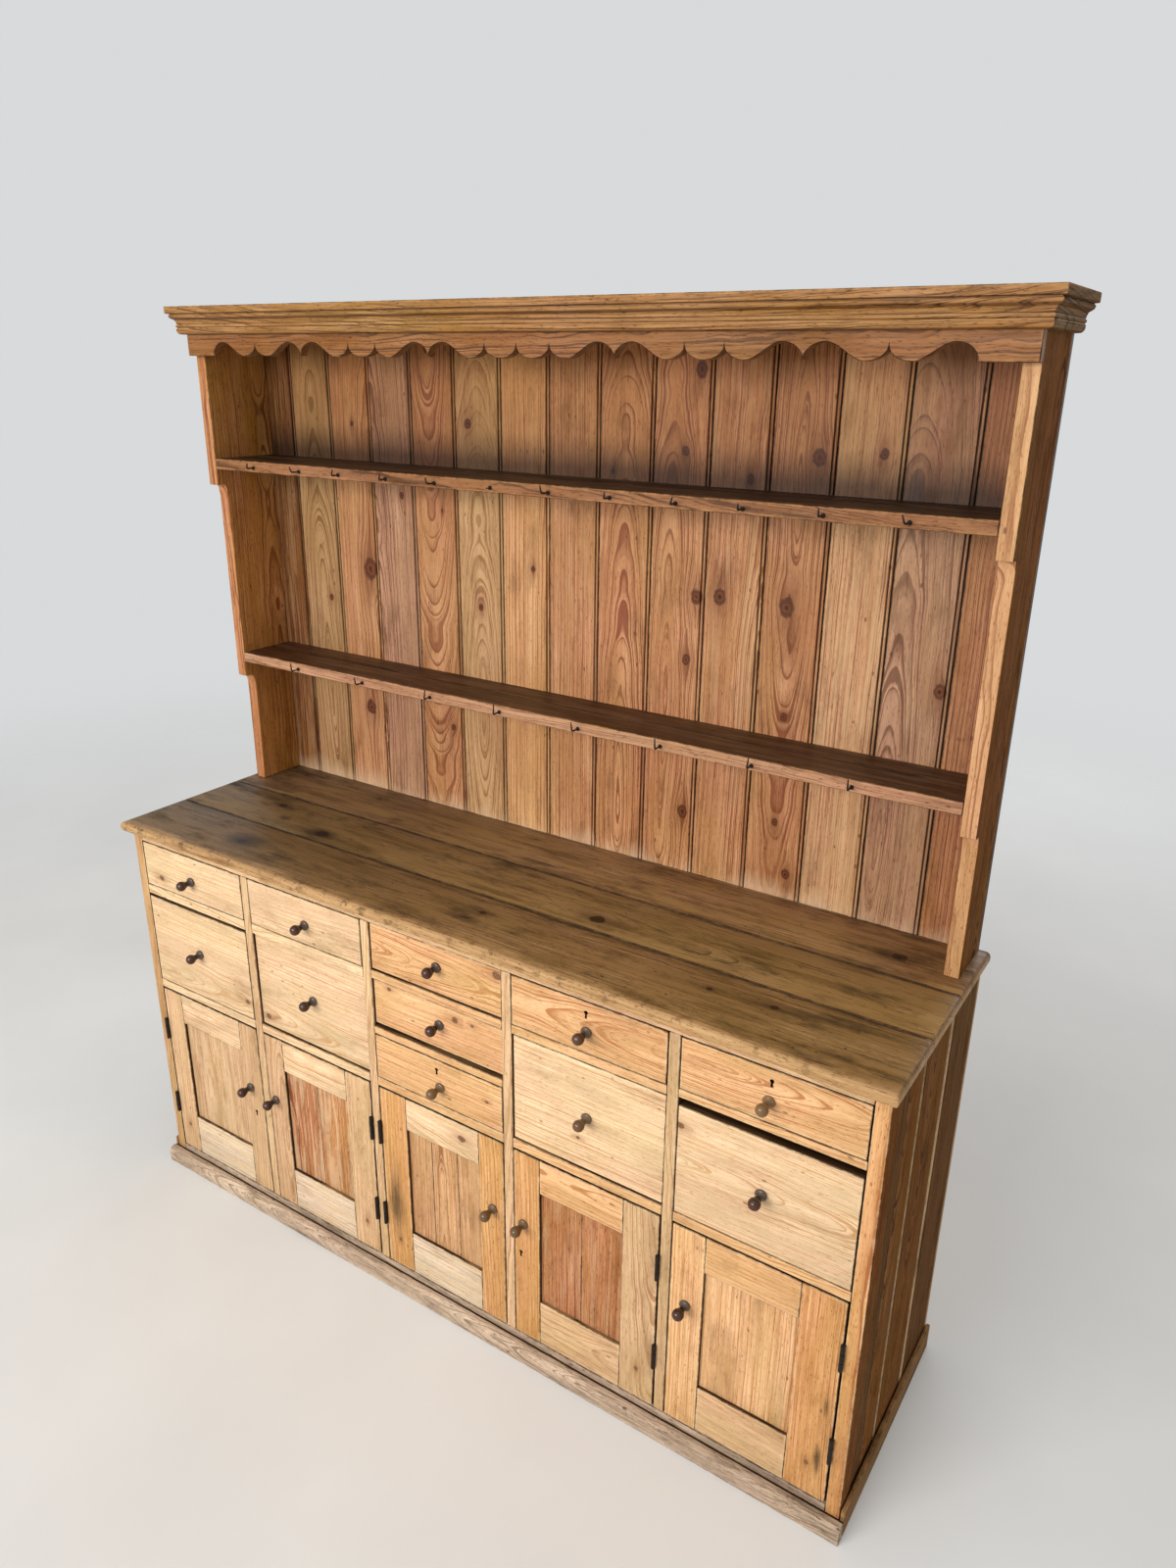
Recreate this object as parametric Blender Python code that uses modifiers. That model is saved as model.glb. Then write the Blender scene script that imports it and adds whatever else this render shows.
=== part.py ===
"""Pine kitchen dresser: a base of five bays with eleven drawers over five panelled doors,
and an open rack of two shelves under a scalloped frieze and a mitred cornice.

Metres, +Z up. The front faces -Y and +X is to the right of someone facing it. The origin is
on the floor, in the middle of the overall width and depth.
"""

import math
from collections import namedtuple

import bmesh
import bpy
from mathutils import Matrix, Vector

# Overall sizes
BASE_WIDTH = 1.686
BASE_DEPTH = 0.461
WORKTOP_HEIGHT = 0.890
DRESSER_HEIGHT = 1.920
KNOB_REACH = 0.036
GAP = 0.0003

# Front and back planes, with the knobs counted in the overall depth
BACK = (BASE_DEPTH + KNOB_REACH) / 2
FACE = BACK - BASE_DEPTH

# Base carcass
STILE = 0.0255
DIVIDER = 0.0205
BAYS = 5
BAY_WIDTH = (BASE_WIDTH - 2 * STILE - (BAYS - 1) * DIVIDER) / BAYS
END_BOARD = 0.016
STILE_DEPTH = 0.045
BACK_BOARD = 0.012
BOTTOM_LOW = 0.030
BOTTOM_TOP = 0.050
RAIL = 0.020
BLADE_DEPTH = 0.050
RUNNER = 0.020
RUNNER_END = 0.030
END_GROOVE = 0.088
END_GROOVE_WIDTH = 0.0024
END_GROOVE_DEPTH = 0.004
END_JOINTS = (0.160, 0.296)

# Worktop of three boards
WORKTOP = 0.022
WORKTOP_SIDE_OVERHANG = 0.012
WORKTOP_FRONT_OVERHANG = 0.022
WORKTOP_JOINTS = (0.142, 0.289)
WORKTOP_JOINT_GAP = 0.0012
NOSE = 0.009

# Plinth: a low rounded board along the front, and a higher, thinner one along each end
PLINTH_FRONT_HEIGHT = 0.036
PLINTH_SIDE_HEIGHT = 0.055
PLINTH_FRONT = 0.021
PLINTH_SIDE = 0.009
PLINTH_STANDS_OFF = 0.0015
PLINTH_ROUND = 0.010

# Low and high edges of the rails. Each bay has its own under its top drawer, and the middle bay one more
TOP_RAIL_LOW = 0.848
UPPER_RAILS = {
    1: (0.723, 0.745),
    2: (0.723, 0.745),
    3: (0.729, 0.747),
    4: (0.729, 0.747),
    5: (0.734, 0.750),
}
MIDDLE_RAIL = (0.607, 0.623)
DOOR_RAIL = (0.487, 0.507)

# Drawers
DRAWER_DEPTH = 0.420
DRAWER_SIDE_GAP = 0.002
FRONT = 0.020
LAP = 0.008
SIDE = 0.011
SIDE_INSET = 0.0006
DRAWER_BOTTOM = 0.006
DRAWER_BOTTOM_RISE = 0.008
SIDE_DROP = 0.006
USUAL_FOOT_GAP = 0.0015
FOOT_GAPS = {"3_upper": 0.003, "3_middle": 0.007}
USUAL_HEAD_GAP = 0.002
HEAD_GAPS = {"1_lower": 0.0065, "3_middle": 0.0035, "4_lower": 0.004, "5_lower": 0.015}
KNOB_HEIGHTS = {"upper": 0.790, "middle": 0.682, "lower": 0.616}
ODD_KNOB_HEIGHTS = {"3_upper": 0.804, "3_lower": 0.548}
KNOB_OFFSETS = {1: -0.002, 2: 0.006, 3: 0.008, 4: 0.002, 5: -0.002}
DRAWER_LOCKS = ("3_lower", "4_upper", "5_upper")
# How far some drawers stand back from the face of the carcass when shut
SETBACKS = {"2_lower": 0.005, "3_upper": 0.003, "3_middle": 0.005, "4_lower": 0.004}

# Doors
DOOR_THICK = 0.020
HINGE_GAP = 0.003
LOCK_GAP = 0.002
DOOR_FOOT_GAP = 0.002
DOOR_HEAD_GAP = 0.004
DOOR_TOP_RAIL = 0.074
DOOR_BOTTOM_RAIL = 0.100
PANEL = 0.008
PANEL_SETBACK = 0.007
PANEL_TONGUE = 0.008
DOOR_KNOB_HEIGHT = 0.323

# Which side each door hangs on, the widths of its two stiles and how far in its knob stands
Door = namedtuple("Door", "side hinge_stile lock_stile knob_inset")
HUNG_LEFT = 1
HUNG_RIGHT = -1
DOORS = {
    1: Door(HUNG_LEFT, 0.058, 0.056, 0.036),
    2: Door(HUNG_RIGHT, 0.069, 0.054, 0.020),
    3: Door(HUNG_LEFT, 0.067, 0.058, 0.026),
    4: Door(HUNG_RIGHT, 0.071, 0.057, 0.021),
    5: Door(HUNG_RIGHT, 0.075, 0.062, 0.031),
}
# Distance from the lock edge and height of a door's keyhole
DOOR_LOCKS = {1: (0.027, 0.262), 4: (0.014, 0.253)}

# Butt hinges
HINGE_HEIGHTS = (0.175, 0.377)
HINGE_LENGTH = 0.054
LEAF = 0.0013
LEAF_DEPTH = 0.016
LEAF_SINK = 0.0005
KNUCKLE = 0.0038
PIN = 0.0015
PIN_CLEARANCE = 0.0003
PIN_Y = FACE - 0.0045
KNUCKLE_SIDES = 10

# Turned knobs
KNOB_BALL = 0.0105
KNOB_FLANGE = 0.0105
KNOB_NECK = 0.0055
TENON = 0.0045
TENON_LENGTH = 0.012
TENON_CLEARANCE = 0.0003
KNOB_SIDES = 10

# Keyholes
KEYHOLE_RADIUS = 0.0026
KEYHOLE_SLOT = 0.009
KEYHOLE_DEPTH = 0.013
KEYHOLE_OVER_KNOB = 0.036

# Rack
RACK_WIDTH = 1.668
RACK_END = 0.026
RACK_FRONT = FACE + 0.291
SHOULDER_HEIGHTS = (1.146, 1.571)
SHOULDER_LEDGE = 0.016
SHOULDER_ROUND = 0.008
SHOULDER_DROP = 0.034
SHELF = 0.022
SHELF_HEIGHTS = {"lower": 1.202, "upper": 1.626}
RACK_TOP_HEIGHT = 1.900
RACK_TOP_BOARD = 0.018
PLATE_GROOVE = 0.006
PLATE_GROOVE_DEPTH = 0.003
PLATE_GROOVE_FROM_BACK = 0.060

# Beaded boards
BACK_BOARD_WIDTH = 0.1125
BACK_JOINTS = 14
QUIRK = 0.0025
QUIRK_DEPTH = 0.0035
BEAD = 0.005
BEAD_DROP = 0.0008
SLOT = 0.003
SLOT_DEPTH = 0.006

# Cup hooks
HOOKS = {"lower": (8, 0.1807), "upper": (12, 0.125)}
HOOK_WIRE = 0.0015
HOOK_REACH = 0.022
HOOK_RISE = 0.012
HOOK_SINK = 0.006

# Frieze
FRIEZE = 0.018
FRIEZE_LOW = 1.828
FRIEZE_TOP = 1.912
HALF_LOBE = 0.0335
LOBE_TO_ARCH = 0.0585
ARCH_TO_POINT = 0.033
ARCH_RISE = 0.025
CUSP_RISE = 0.020
FLAT_FROM_ARCH = 0.030
EVEN = (0.25, 0.5, 0.75, 1.0)
FINE_FIRST = (0.07, 0.25, 0.55, 1.0)
FINE_LAST = (0.45, 0.75, 0.93, 1.0)
SCALLOP_SHARES = {
    "LA": EVEN,
    "AL": EVEN,
    "LC": FINE_LAST,
    "AP": FINE_LAST,
    "CL": FINE_FIRST,
    "PA": FINE_FIRST,
}

# Cornice
CORNICE_HEIGHT = 0.052
CORNICE_REACH = 0.027

# Colours, as linear red, green and blue
FRONT_PINE = (0.62, 0.38, 0.16)
TOP_PINE = (0.20, 0.125, 0.05)
RACK_PINE = (0.38, 0.18, 0.065)
PANEL_PINE = (0.44, 0.22, 0.075)
PLINTH_PINE = (0.52, 0.36, 0.20)
KNOB_WOOD = (0.055, 0.024, 0.014)
BOX_PINE = (0.55, 0.36, 0.17)


def clear_scene():
    """Remove whatever the scene holds."""
    for item in list(bpy.data.objects):
        bpy.data.objects.remove(item, do_unlink=True)


def collection(name):
    """A collection linked to the scene."""
    made = bpy.data.collections.new(name)
    bpy.context.scene.collection.children.link(made)
    return made


clear_scene()
DRESSER = collection("kitchen_dresser")
WORKSHOP = collection("workshop")


def mesh_object(name, mesh):
    """An object in the workshop, where shapes wait to be cut or joined."""
    made = bpy.data.objects.new(name, mesh)
    made.hide_render = True
    made.display_type = "WIRE"
    WORKSHOP.objects.link(made)
    return made


def box(low, high):
    """A rectangular block between two corners, from a cube."""
    low = Vector(low)
    high = Vector(high)
    size = high - low
    form = bmesh.new()
    place = Matrix.Translation((low + high) / 2) @ Matrix.Diagonal((*size, 1))
    bmesh.ops.create_cube(form, size=1, matrix=place)
    mesh = bpy.data.meshes.new("box")
    form.to_mesh(mesh)
    form.free()
    return mesh_object("box", mesh)


def cylinder(centre, radius, length, axis="Z", sides=KNUCKLE_SIDES):
    """A cylinder along one axis, centred on a point."""
    turn = {"X": Matrix.Rotation(math.pi / 2, 4, "Y"), "Y": Matrix.Rotation(math.pi / 2, 4, "X")}
    form = bmesh.new()
    place = Matrix.Translation(centre) @ turn.get(axis, Matrix.Identity(4))
    bmesh.ops.create_cone(
        form, cap_ends=True, segments=sides, radius1=radius, radius2=radius, depth=length, matrix=place
    )
    mesh = bpy.data.meshes.new("cylinder")
    form.to_mesh(mesh)
    form.free()
    return mesh_object("cylinder", mesh)


def as_mesh(curve_object):
    """The closed mesh of a curve, in world coordinates, in place of the curve."""
    bpy.context.view_layer.update()
    graph = bpy.context.evaluated_depsgraph_get()
    mesh = bpy.data.meshes.new_from_object(curve_object.evaluated_get(graph))
    form = bmesh.new()
    form.from_mesh(mesh)
    bmesh.ops.transform(form, matrix=curve_object.matrix_world, verts=form.verts)
    bmesh.ops.remove_doubles(form, verts=form.verts, dist=0.00001)
    bmesh.ops.recalc_face_normals(form, faces=form.faces)
    form.to_mesh(mesh)
    form.free()
    bpy.data.objects.remove(curve_object)
    return mesh_object("outline", mesh)


def extruded(outline, start, end, axis):
    """A flat outline drawn out along an axis. It lies in XY for axis Z, in XZ for Y and in YZ for X."""
    curve = bpy.data.curves.new("outline", "CURVE")
    curve.dimensions = "2D"
    curve.fill_mode = "BOTH"
    curve.extrude = (end - start) / 2
    spline = curve.splines.new("POLY")
    spline.points.add(len(outline) - 1)
    for point, (across, along) in zip(spline.points, outline):
        point.co = (across, along, 0, 1)
    spline.use_cyclic_u = True
    middle = (start + end) / 2
    across_to_y = Matrix(((0, 0, 1, 0), (1, 0, 0, 0), (0, 1, 0, 0), (0, 0, 0, 1)))
    stand = {
        "Z": Matrix.Translation((0, 0, middle)),
        "Y": Matrix.Translation((0, middle, 0)) @ Matrix.Rotation(math.pi / 2, 4, "X"),
        "X": Matrix.Translation((middle, 0, 0)) @ across_to_y,
    }
    flat = bpy.data.objects.new("outline", curve)
    WORKSHOP.objects.link(flat)
    flat.matrix_world = stand[axis]
    return as_mesh(flat)


def wire(points, radius):
    """A round wire through points, with closed ends."""
    curve = bpy.data.curves.new("wire", "CURVE")
    curve.dimensions = "3D"
    curve.bevel_depth = radius
    curve.bevel_resolution = 1
    curve.use_fill_caps = True
    spline = curve.splines.new("POLY")
    spline.points.add(len(points) - 1)
    for point, place in zip(spline.points, points):
        point.co = (*place, 1)
    bent = bpy.data.objects.new("wire", curve)
    WORKSHOP.objects.link(bent)
    return as_mesh(bent)


def combined(body, others, operation):
    """The body with other shapes joined to it or cut from it, which are used up."""
    operands = bpy.data.collections.new("operands")
    WORKSHOP.children.link(operands)
    for other in others:
        operands.objects.link(other)
    step = body.modifiers.new(operation.lower(), "BOOLEAN")
    step.operation = operation
    step.solver = "EXACT"
    step.operand_type = "COLLECTION"
    step.collection = operands
    bpy.context.view_layer.update()
    graph = bpy.context.evaluated_depsgraph_get()
    mesh = bpy.data.meshes.new_from_object(body.evaluated_get(graph))
    body.modifiers.clear()
    body.data = mesh
    for other in others:
        bpy.data.objects.remove(other)
    bpy.data.collections.remove(operands)
    return body


def joined(body, others):
    """The body with other shapes joined to it."""
    return combined(body, others, "UNION")


def cut(body, others):
    """The body with other shapes cut from it."""
    return combined(body, others, "DIFFERENCE")


def finish(shape, name, origin, colour, roughness=0.55, parent=None):
    """Make a shape into a named piece, with its origin at a point and a material of its own."""
    origin = Vector(origin)
    shape.name = name
    shape.data.name = name
    shape.data.transform(Matrix.Translation(-origin))
    shape.data.set_sharp_from_angle(angle=math.radians(35))
    shape.hide_render = False
    shape.display_type = "TEXTURED"
    WORKSHOP.objects.unlink(shape)
    DRESSER.objects.link(shape)
    shape.parent = parent
    shape.location = origin - (parent.location if parent else Vector((0, 0, 0)))
    paint = bpy.data.materials.new(name)
    paint.use_nodes = True
    surface = paint.node_tree.nodes["Principled BSDF"]
    surface.inputs["Base Color"].default_value = (*colour, 1)
    surface.inputs["Roughness"].default_value = roughness
    surface.inputs["Metallic"].default_value = 0
    shape.data.materials.clear()
    shape.data.materials.append(paint)
    return shape


def axis_empty(name, place):
    """An empty that a moving piece hangs from, on its joint's axis."""
    made = bpy.data.objects.new(name, None)
    made.empty_display_size = 0.05
    made.location = place
    DRESSER.objects.link(made)
    return made


def bay_left(bay):
    """The left side of a bay, counted from 1 at the left."""
    return -BASE_WIDTH / 2 + STILE + (bay - 1) * (BAY_WIDTH + DIVIDER)


def bay_middle(bay):
    return bay_left(bay) + BAY_WIDTH / 2


def bay_rails(bay):
    """The low and high edges of the rails under a bay's drawers, from the top."""
    if bay == 3:
        return [UPPER_RAILS[bay], MIDDLE_RAIL, DOOR_RAIL]
    return [UPPER_RAILS[bay], DOOR_RAIL]


def bay_openings(bay):
    """The drawer openings of a bay by name, from the top."""
    names = ("upper", "middle", "lower") if bay == 3 else ("upper", "lower")
    rails = bay_rails(bay)
    heads = [TOP_RAIL_LOW] + [low for low, high in rails[:-1]]
    return {name: (rail[1], head) for name, rail, head in zip(names, rails, heads)}


def joint_profile(joint):
    """Beaded joint between two boards: a quirk, a bead a little below the face, and the open joint.

    Pairs of the distance along the boards and the depth below their face.
    """
    bead_end = joint - SLOT / 2
    bead_start = bead_end - BEAD
    quirk_start = bead_start - QUIRK
    round_points = []
    for step in range(4):
        angle = math.pi * (1 - step / 3)
        along = (bead_start + bead_end) / 2 + BEAD / 2 * math.cos(angle)
        depth = BEAD_DROP + BEAD / 2 * (1 - math.sin(angle))
        round_points.append((along, depth))
    return (
        [(quirk_start, 0), (bead_start - QUIRK / 2, QUIRK_DEPTH)]
        + round_points
        + [(bead_end, SLOT_DEPTH), (joint + SLOT / 2, SLOT_DEPTH), (joint + SLOT / 2, 0)]
    )


# Hinges


def hinge(pin_x, side, height):
    """The shapes of one butt hinge: those fixed to the carcass, those that swing, and the bore.

    The side is HUNG_LEFT where the door lies to the right of the pin, and HUNG_RIGHT where it lies
    to its left.
    """
    half = HINGE_LENGTH / 2
    third = HINGE_LENGTH / 6
    leaf_face = HINGE_GAP / 2 - LEAF
    leaf_back = HINGE_GAP / 2 + LEAF_SINK
    web_face = HINGE_GAP / 2 - GAP / 2

    def plate(towards, near, far, front, back, low, high):
        ends = sorted((pin_x + towards * near, pin_x + towards * far))
        return box((ends[0], front, height + low), (ends[1], back, height + high))

    def knuckle(low, high):
        return cylinder((pin_x, PIN_Y, height + (low + high) / 2), KNUCKLE, high - low)

    fixed = [
        plate(-side, leaf_face, leaf_back, FACE + GAP, FACE + LEAF_DEPTH, -half, half),
        plate(-side, leaf_face, web_face, PIN_Y, FACE + 0.002, -third + GAP, third - GAP),
        knuckle(-third + GAP / 2, third - GAP / 2),
        cylinder((pin_x, PIN_Y, height), PIN, HINGE_LENGTH),
    ]
    swinging = []
    for low, high in ((-half, -third - GAP / 2), (third + GAP / 2, half)):
        swinging.append(plate(side, leaf_face, web_face, PIN_Y, FACE + 0.002, low + GAP, high - GAP))
        swinging.append(knuckle(low, high))
    swinging.append(plate(side, leaf_face, leaf_back, FACE + GAP, FACE + LEAF_DEPTH, -half, half))
    bore = cylinder((pin_x, PIN_Y, height), PIN + PIN_CLEARANCE, HINGE_LENGTH + 0.004)
    return fixed, swinging, bore


def pin_place(bay):
    """How far to the right a door's hinge line stands."""
    if DOORS[bay].side == HUNG_LEFT:
        return bay_left(bay) + HINGE_GAP / 2
    return bay_left(bay) + BAY_WIDTH - HINGE_GAP / 2


def fixed_leaves(bays, left_upright):
    """The fixed halves of the hinges that an upright carries.

    left_upright is true where the upright stands on the left of these bays.
    """
    found = []
    for bay in bays:
        side = DOORS[bay].side
        if (side == HUNG_LEFT) == left_upright:
            for height in HINGE_HEIGHTS:
                fixed, swinging, bore = hinge(pin_place(bay), side, height)
                found += fixed
                for spare in (*swinging, bore):
                    bpy.data.objects.remove(spare)
    return found


# Base carcass


def runners(bay, against, towards):
    """The drawer runners on one face of an upright, level with the rails of a bay."""
    found = []
    for low, high in bay_rails(bay):
        ends = sorted((against - towards * 0.002, against + towards * RUNNER))
        start = FACE + BLADE_DEPTH + GAP
        back = BACK - BACK_BOARD - RUNNER_END
        found.append(box((ends[0], start, high - RAIL), (ends[1], back, high)))
    return found


def blades(bay, overlap=0.002):
    """The rails under the drawers of a bay. They run into the upright on its right."""
    start = bay_left(bay) + GAP
    end = bay_left(bay) + BAY_WIDTH + overlap
    back = FACE + BLADE_DEPTH
    return [box((start, FACE, low), (end, back, high)) for low, high in bay_rails(bay)]


def end_board(side):
    """A beaded end of the base, with the front stile that shows beside the drawers."""
    outer = side * BASE_WIDTH / 2
    stile_inner = outer - side * STILE
    board_inner = outer - side * END_BOARD
    groove = [FACE + END_GROOVE + way * END_GROOVE_WIDTH / 2 for way in (-1, 1)]
    floor = outer - side * END_GROOVE_DEPTH
    outline = [(outer, FACE), (outer, groove[0]), (floor, groove[0]), (floor, groove[1]), (outer, groove[1])]
    for joint in END_JOINTS:
        outline += [(outer - side * depth, FACE + along) for along, depth in joint_profile(joint)]
    back = BACK - BACK_BOARD - GAP
    outline += [(outer, back), (board_inner, back), (board_inner, FACE + STILE_DEPTH)]
    outline += [(stile_inner, FACE + STILE_DEPTH), (stile_inner, FACE)]
    board = extruded(outline, 0, WORKTOP_HEIGHT - WORKTOP - GAP, "Z")
    if side < 0:
        extras = runners(1, board_inner, 1) + fixed_leaves([1], True)
        name = "end_board_left"
    else:
        extras = runners(BAYS, board_inner, -1) + blades(BAYS) + fixed_leaves([BAYS], False)
        name = "end_board_right"
    return finish(joined(board, extras), name, (outer, FACE, 0), FRONT_PINE)


def partition(number):
    """An upright board between two bays, with the rails of the bay on its left.

    It is notched round the long rail under the worktop.
    """
    left = bay_left(number) + BAY_WIDTH
    right = left + DIVIDER
    low = BOTTOM_TOP + GAP
    notch = (FACE + BLADE_DEPTH + GAP, TOP_RAIL_LOW - GAP)
    back = BACK - BACK_BOARD - GAP
    high = WORKTOP_HEIGHT - WORKTOP - GAP
    outline = [(FACE, low), (back, low), (back, high), (notch[0], high), notch, (FACE, notch[1])]
    board = extruded(outline, left, right, "X")
    extras = blades(number) + runners(number, left, -1) + runners(number + 1, right, 1)
    extras += fixed_leaves([number], False) + fixed_leaves([number + 1], True)
    middle = (left + right) / 2
    return finish(joined(board, extras), f"partition_{number}", (middle, FACE, BOTTOM_TOP), FRONT_PINE)


def carcass_rails():
    """The long rail under the worktop and the bottom board, between the ends and their stiles."""
    inside = BASE_WIDTH / 2 - STILE - GAP
    low = (-inside, FACE, TOP_RAIL_LOW)
    high = (inside, FACE + BLADE_DEPTH, WORKTOP_HEIGHT - WORKTOP - GAP)
    finish(box(low, high), "top_rail", (0, FACE, TOP_RAIL_LOW), FRONT_PINE)
    wide = BASE_WIDTH / 2 - END_BOARD - GAP
    shoulder = FACE + STILE_DEPTH + GAP
    back = BACK - BACK_BOARD - GAP
    half = [(inside, FACE), (inside, shoulder), (wide, shoulder), (wide, back)]
    outline = half + [(-x, y) for x, y in reversed(half)]
    board = extruded(outline, BOTTOM_LOW, BOTTOM_TOP, "Z")
    finish(board, "bottom_board", (0, FACE, BOTTOM_LOW), FRONT_PINE)


def beaded_back(name, width, low, high):
    """Tongued and beaded boards nailed behind, as one sheet with its joints."""
    front = BACK - BACK_BOARD
    outline = [(-width / 2, front)]
    for number in range(BACK_JOINTS):
        joint = (number - (BACK_JOINTS - 1) / 2) * BACK_BOARD_WIDTH
        outline += [(along, front + depth) for along, depth in joint_profile(joint)]
    outline += [(width / 2, front), (width / 2, BACK), (-width / 2, BACK)]
    return finish(extruded(outline, low, high, "Z"), name, (0, BACK, low), RACK_PINE, 0.5)


def plinth():
    """A rounded board along the front, with a return board let into its back at each end."""
    side = BASE_WIDTH / 2 + PLINTH_SIDE
    front = FACE - PLINTH_FRONT
    board = box((-side, front, 0), (side, FACE - PLINTH_STANDS_OFF, PLINTH_FRONT_HEIGHT))
    rounded = (front + 0.001, PLINTH_FRONT_HEIGHT - 0.001)
    ease_edges(board, PLINTH_ROUND, lambda a, b: max(a.y, b.y) < rounded[0] and min(a.z, b.z) > rounded[1], 4)
    returns = []
    for way in (-1, 1):
        ends = sorted((way * (BASE_WIDTH / 2 + GAP), way * side))
        start = FACE - PLINTH_STANDS_OFF - 0.005
        board_end = box((ends[0], start, 0), (ends[1], BACK, PLINTH_SIDE_HEIGHT))
        high = PLINTH_SIDE_HEIGHT - 0.001
        ease_edges(board_end, 0.006, lambda a, b: max(a.y, b.y) < start + 0.001 and min(a.z, b.z) > high, 2)
        returns.append(board_end)
    return finish(joined(board, returns), "plinth", (0, front, 0), PLINTH_PINE, 0.6)


def ease_edges(shape, width, wanted, segments=1):
    """Bevel the edges whose two ends pass a test, and apply it."""
    form = bmesh.new()
    form.from_mesh(shape.data)
    edges = [edge for edge in form.edges if wanted(edge.verts[0].co, edge.verts[1].co)]
    bmesh.ops.bevel(form, geom=edges, offset=width, segments=segments, profile=0.5, affect="EDGES")
    form.to_mesh(shape.data)
    form.free()


def worktop():
    """Three long boards, with a rounded nose along the front and both ends."""
    side = BASE_WIDTH / 2 + WORKTOP_SIDE_OVERHANG
    joints = [FACE - WORKTOP_FRONT_OVERHANG, *(FACE + joint for joint in WORKTOP_JOINTS), BACK]
    low = WORKTOP_HEIGHT - WORKTOP
    names = ("front", "middle", "rear")
    for name, start, end in zip(names, joints[:-1], joints[1:]):
        back = end if name == "rear" else end - WORKTOP_JOINT_GAP
        board = box((-side, start, low), (side, back, WORKTOP_HEIGHT))

        def on_nose(a, b):
            along_end = abs(a.x) > side - 0.001 and abs(b.x) > side - 0.001 and a.x * b.x > 0
            along_front = name == "front" and max(a.y, b.y) < start + 0.001
            level = abs(a.z - b.z) < 0.001
            return level and (along_end or along_front)

        ease_edges(board, NOSE, on_nose, 3)
        finish(board, f"worktop_{name}", (0, start, low), TOP_PINE, 0.45)


# Drawers


def knob_mesh():
    """A turned knob along -Y: a tenon at the back, a flange, a narrow neck and a ball."""
    profile = []
    ball_centre = KNOB_REACH - KNOB_BALL
    for step in range(7):
        angle = math.radians(90 - 23 * step)
        profile.append((KNOB_BALL * math.cos(angle), ball_centre + KNOB_BALL * math.sin(angle)))
    profile += [
        (KNOB_NECK, 0.0095),
        (KNOB_FLANGE * 0.8, 0.0055),
        (KNOB_FLANGE, 0.0035),
        (KNOB_FLANGE * 0.95, GAP),
        (TENON, GAP),
        (TENON, -TENON_LENGTH),
        (0, -TENON_LENGTH),
    ]
    mesh = bpy.data.meshes.new("knob")
    form = bmesh.new()
    points = [form.verts.new((radius, 0, along)) for radius, along in profile]
    for first, second in zip(points[:-1], points[1:]):
        form.edges.new((first, second))
    form.to_mesh(mesh)
    form.free()
    blank = mesh_object("knob", mesh)
    turning = blank.modifiers.new("turning", "SCREW")
    turning.axis = "Z"
    turning.steps = KNOB_SIDES
    turning.render_steps = KNOB_SIDES
    turning.use_merge_vertices = True
    turning.merge_threshold = 0.00001
    bpy.context.view_layer.update()
    graph = bpy.context.evaluated_depsgraph_get()
    turned = bpy.data.meshes.new_from_object(blank.evaluated_get(graph))
    bpy.data.objects.remove(blank)
    turned.transform(Matrix.Rotation(math.pi / 2, 4, "X"))
    turned.set_sharp_from_angle(angle=math.radians(40))
    return turned


KNOB = knob_mesh()


def knob(name, place, parent):
    """A knob seated on the face at a point."""
    turned = mesh_object(name, KNOB.copy())
    turned.data.transform(Matrix.Translation(place))
    return finish(turned, name, place, KNOB_WOOD, 0.35, parent)


def knob_hole(place):
    """The shape that cuts the hole for the tenon of a knob seated at a point."""
    depth = TENON_LENGTH + TENON_CLEARANCE
    start = 0.004
    centre = (place[0], place[1] + (depth - start) / 2, place[2])
    return cylinder(centre, TENON + TENON_CLEARANCE, depth + start, "Y", KNOB_SIDES)


def keyhole(x, face, z):
    """The shape that cuts a keyhole into a face: a round eye over a narrow slot."""
    start = 0.003
    middle = face + (KEYHOLE_DEPTH - start) / 2
    eye = cylinder((x, middle, z), KEYHOLE_RADIUS, KEYHOLE_DEPTH + start, "Y", 10)
    half = KEYHOLE_RADIUS * 0.5
    low = (x - half, face - start, z - KEYHOLE_SLOT)
    high = (x + half, face + KEYHOLE_DEPTH, z)
    return joined(eye, [box(low, high)])


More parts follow.
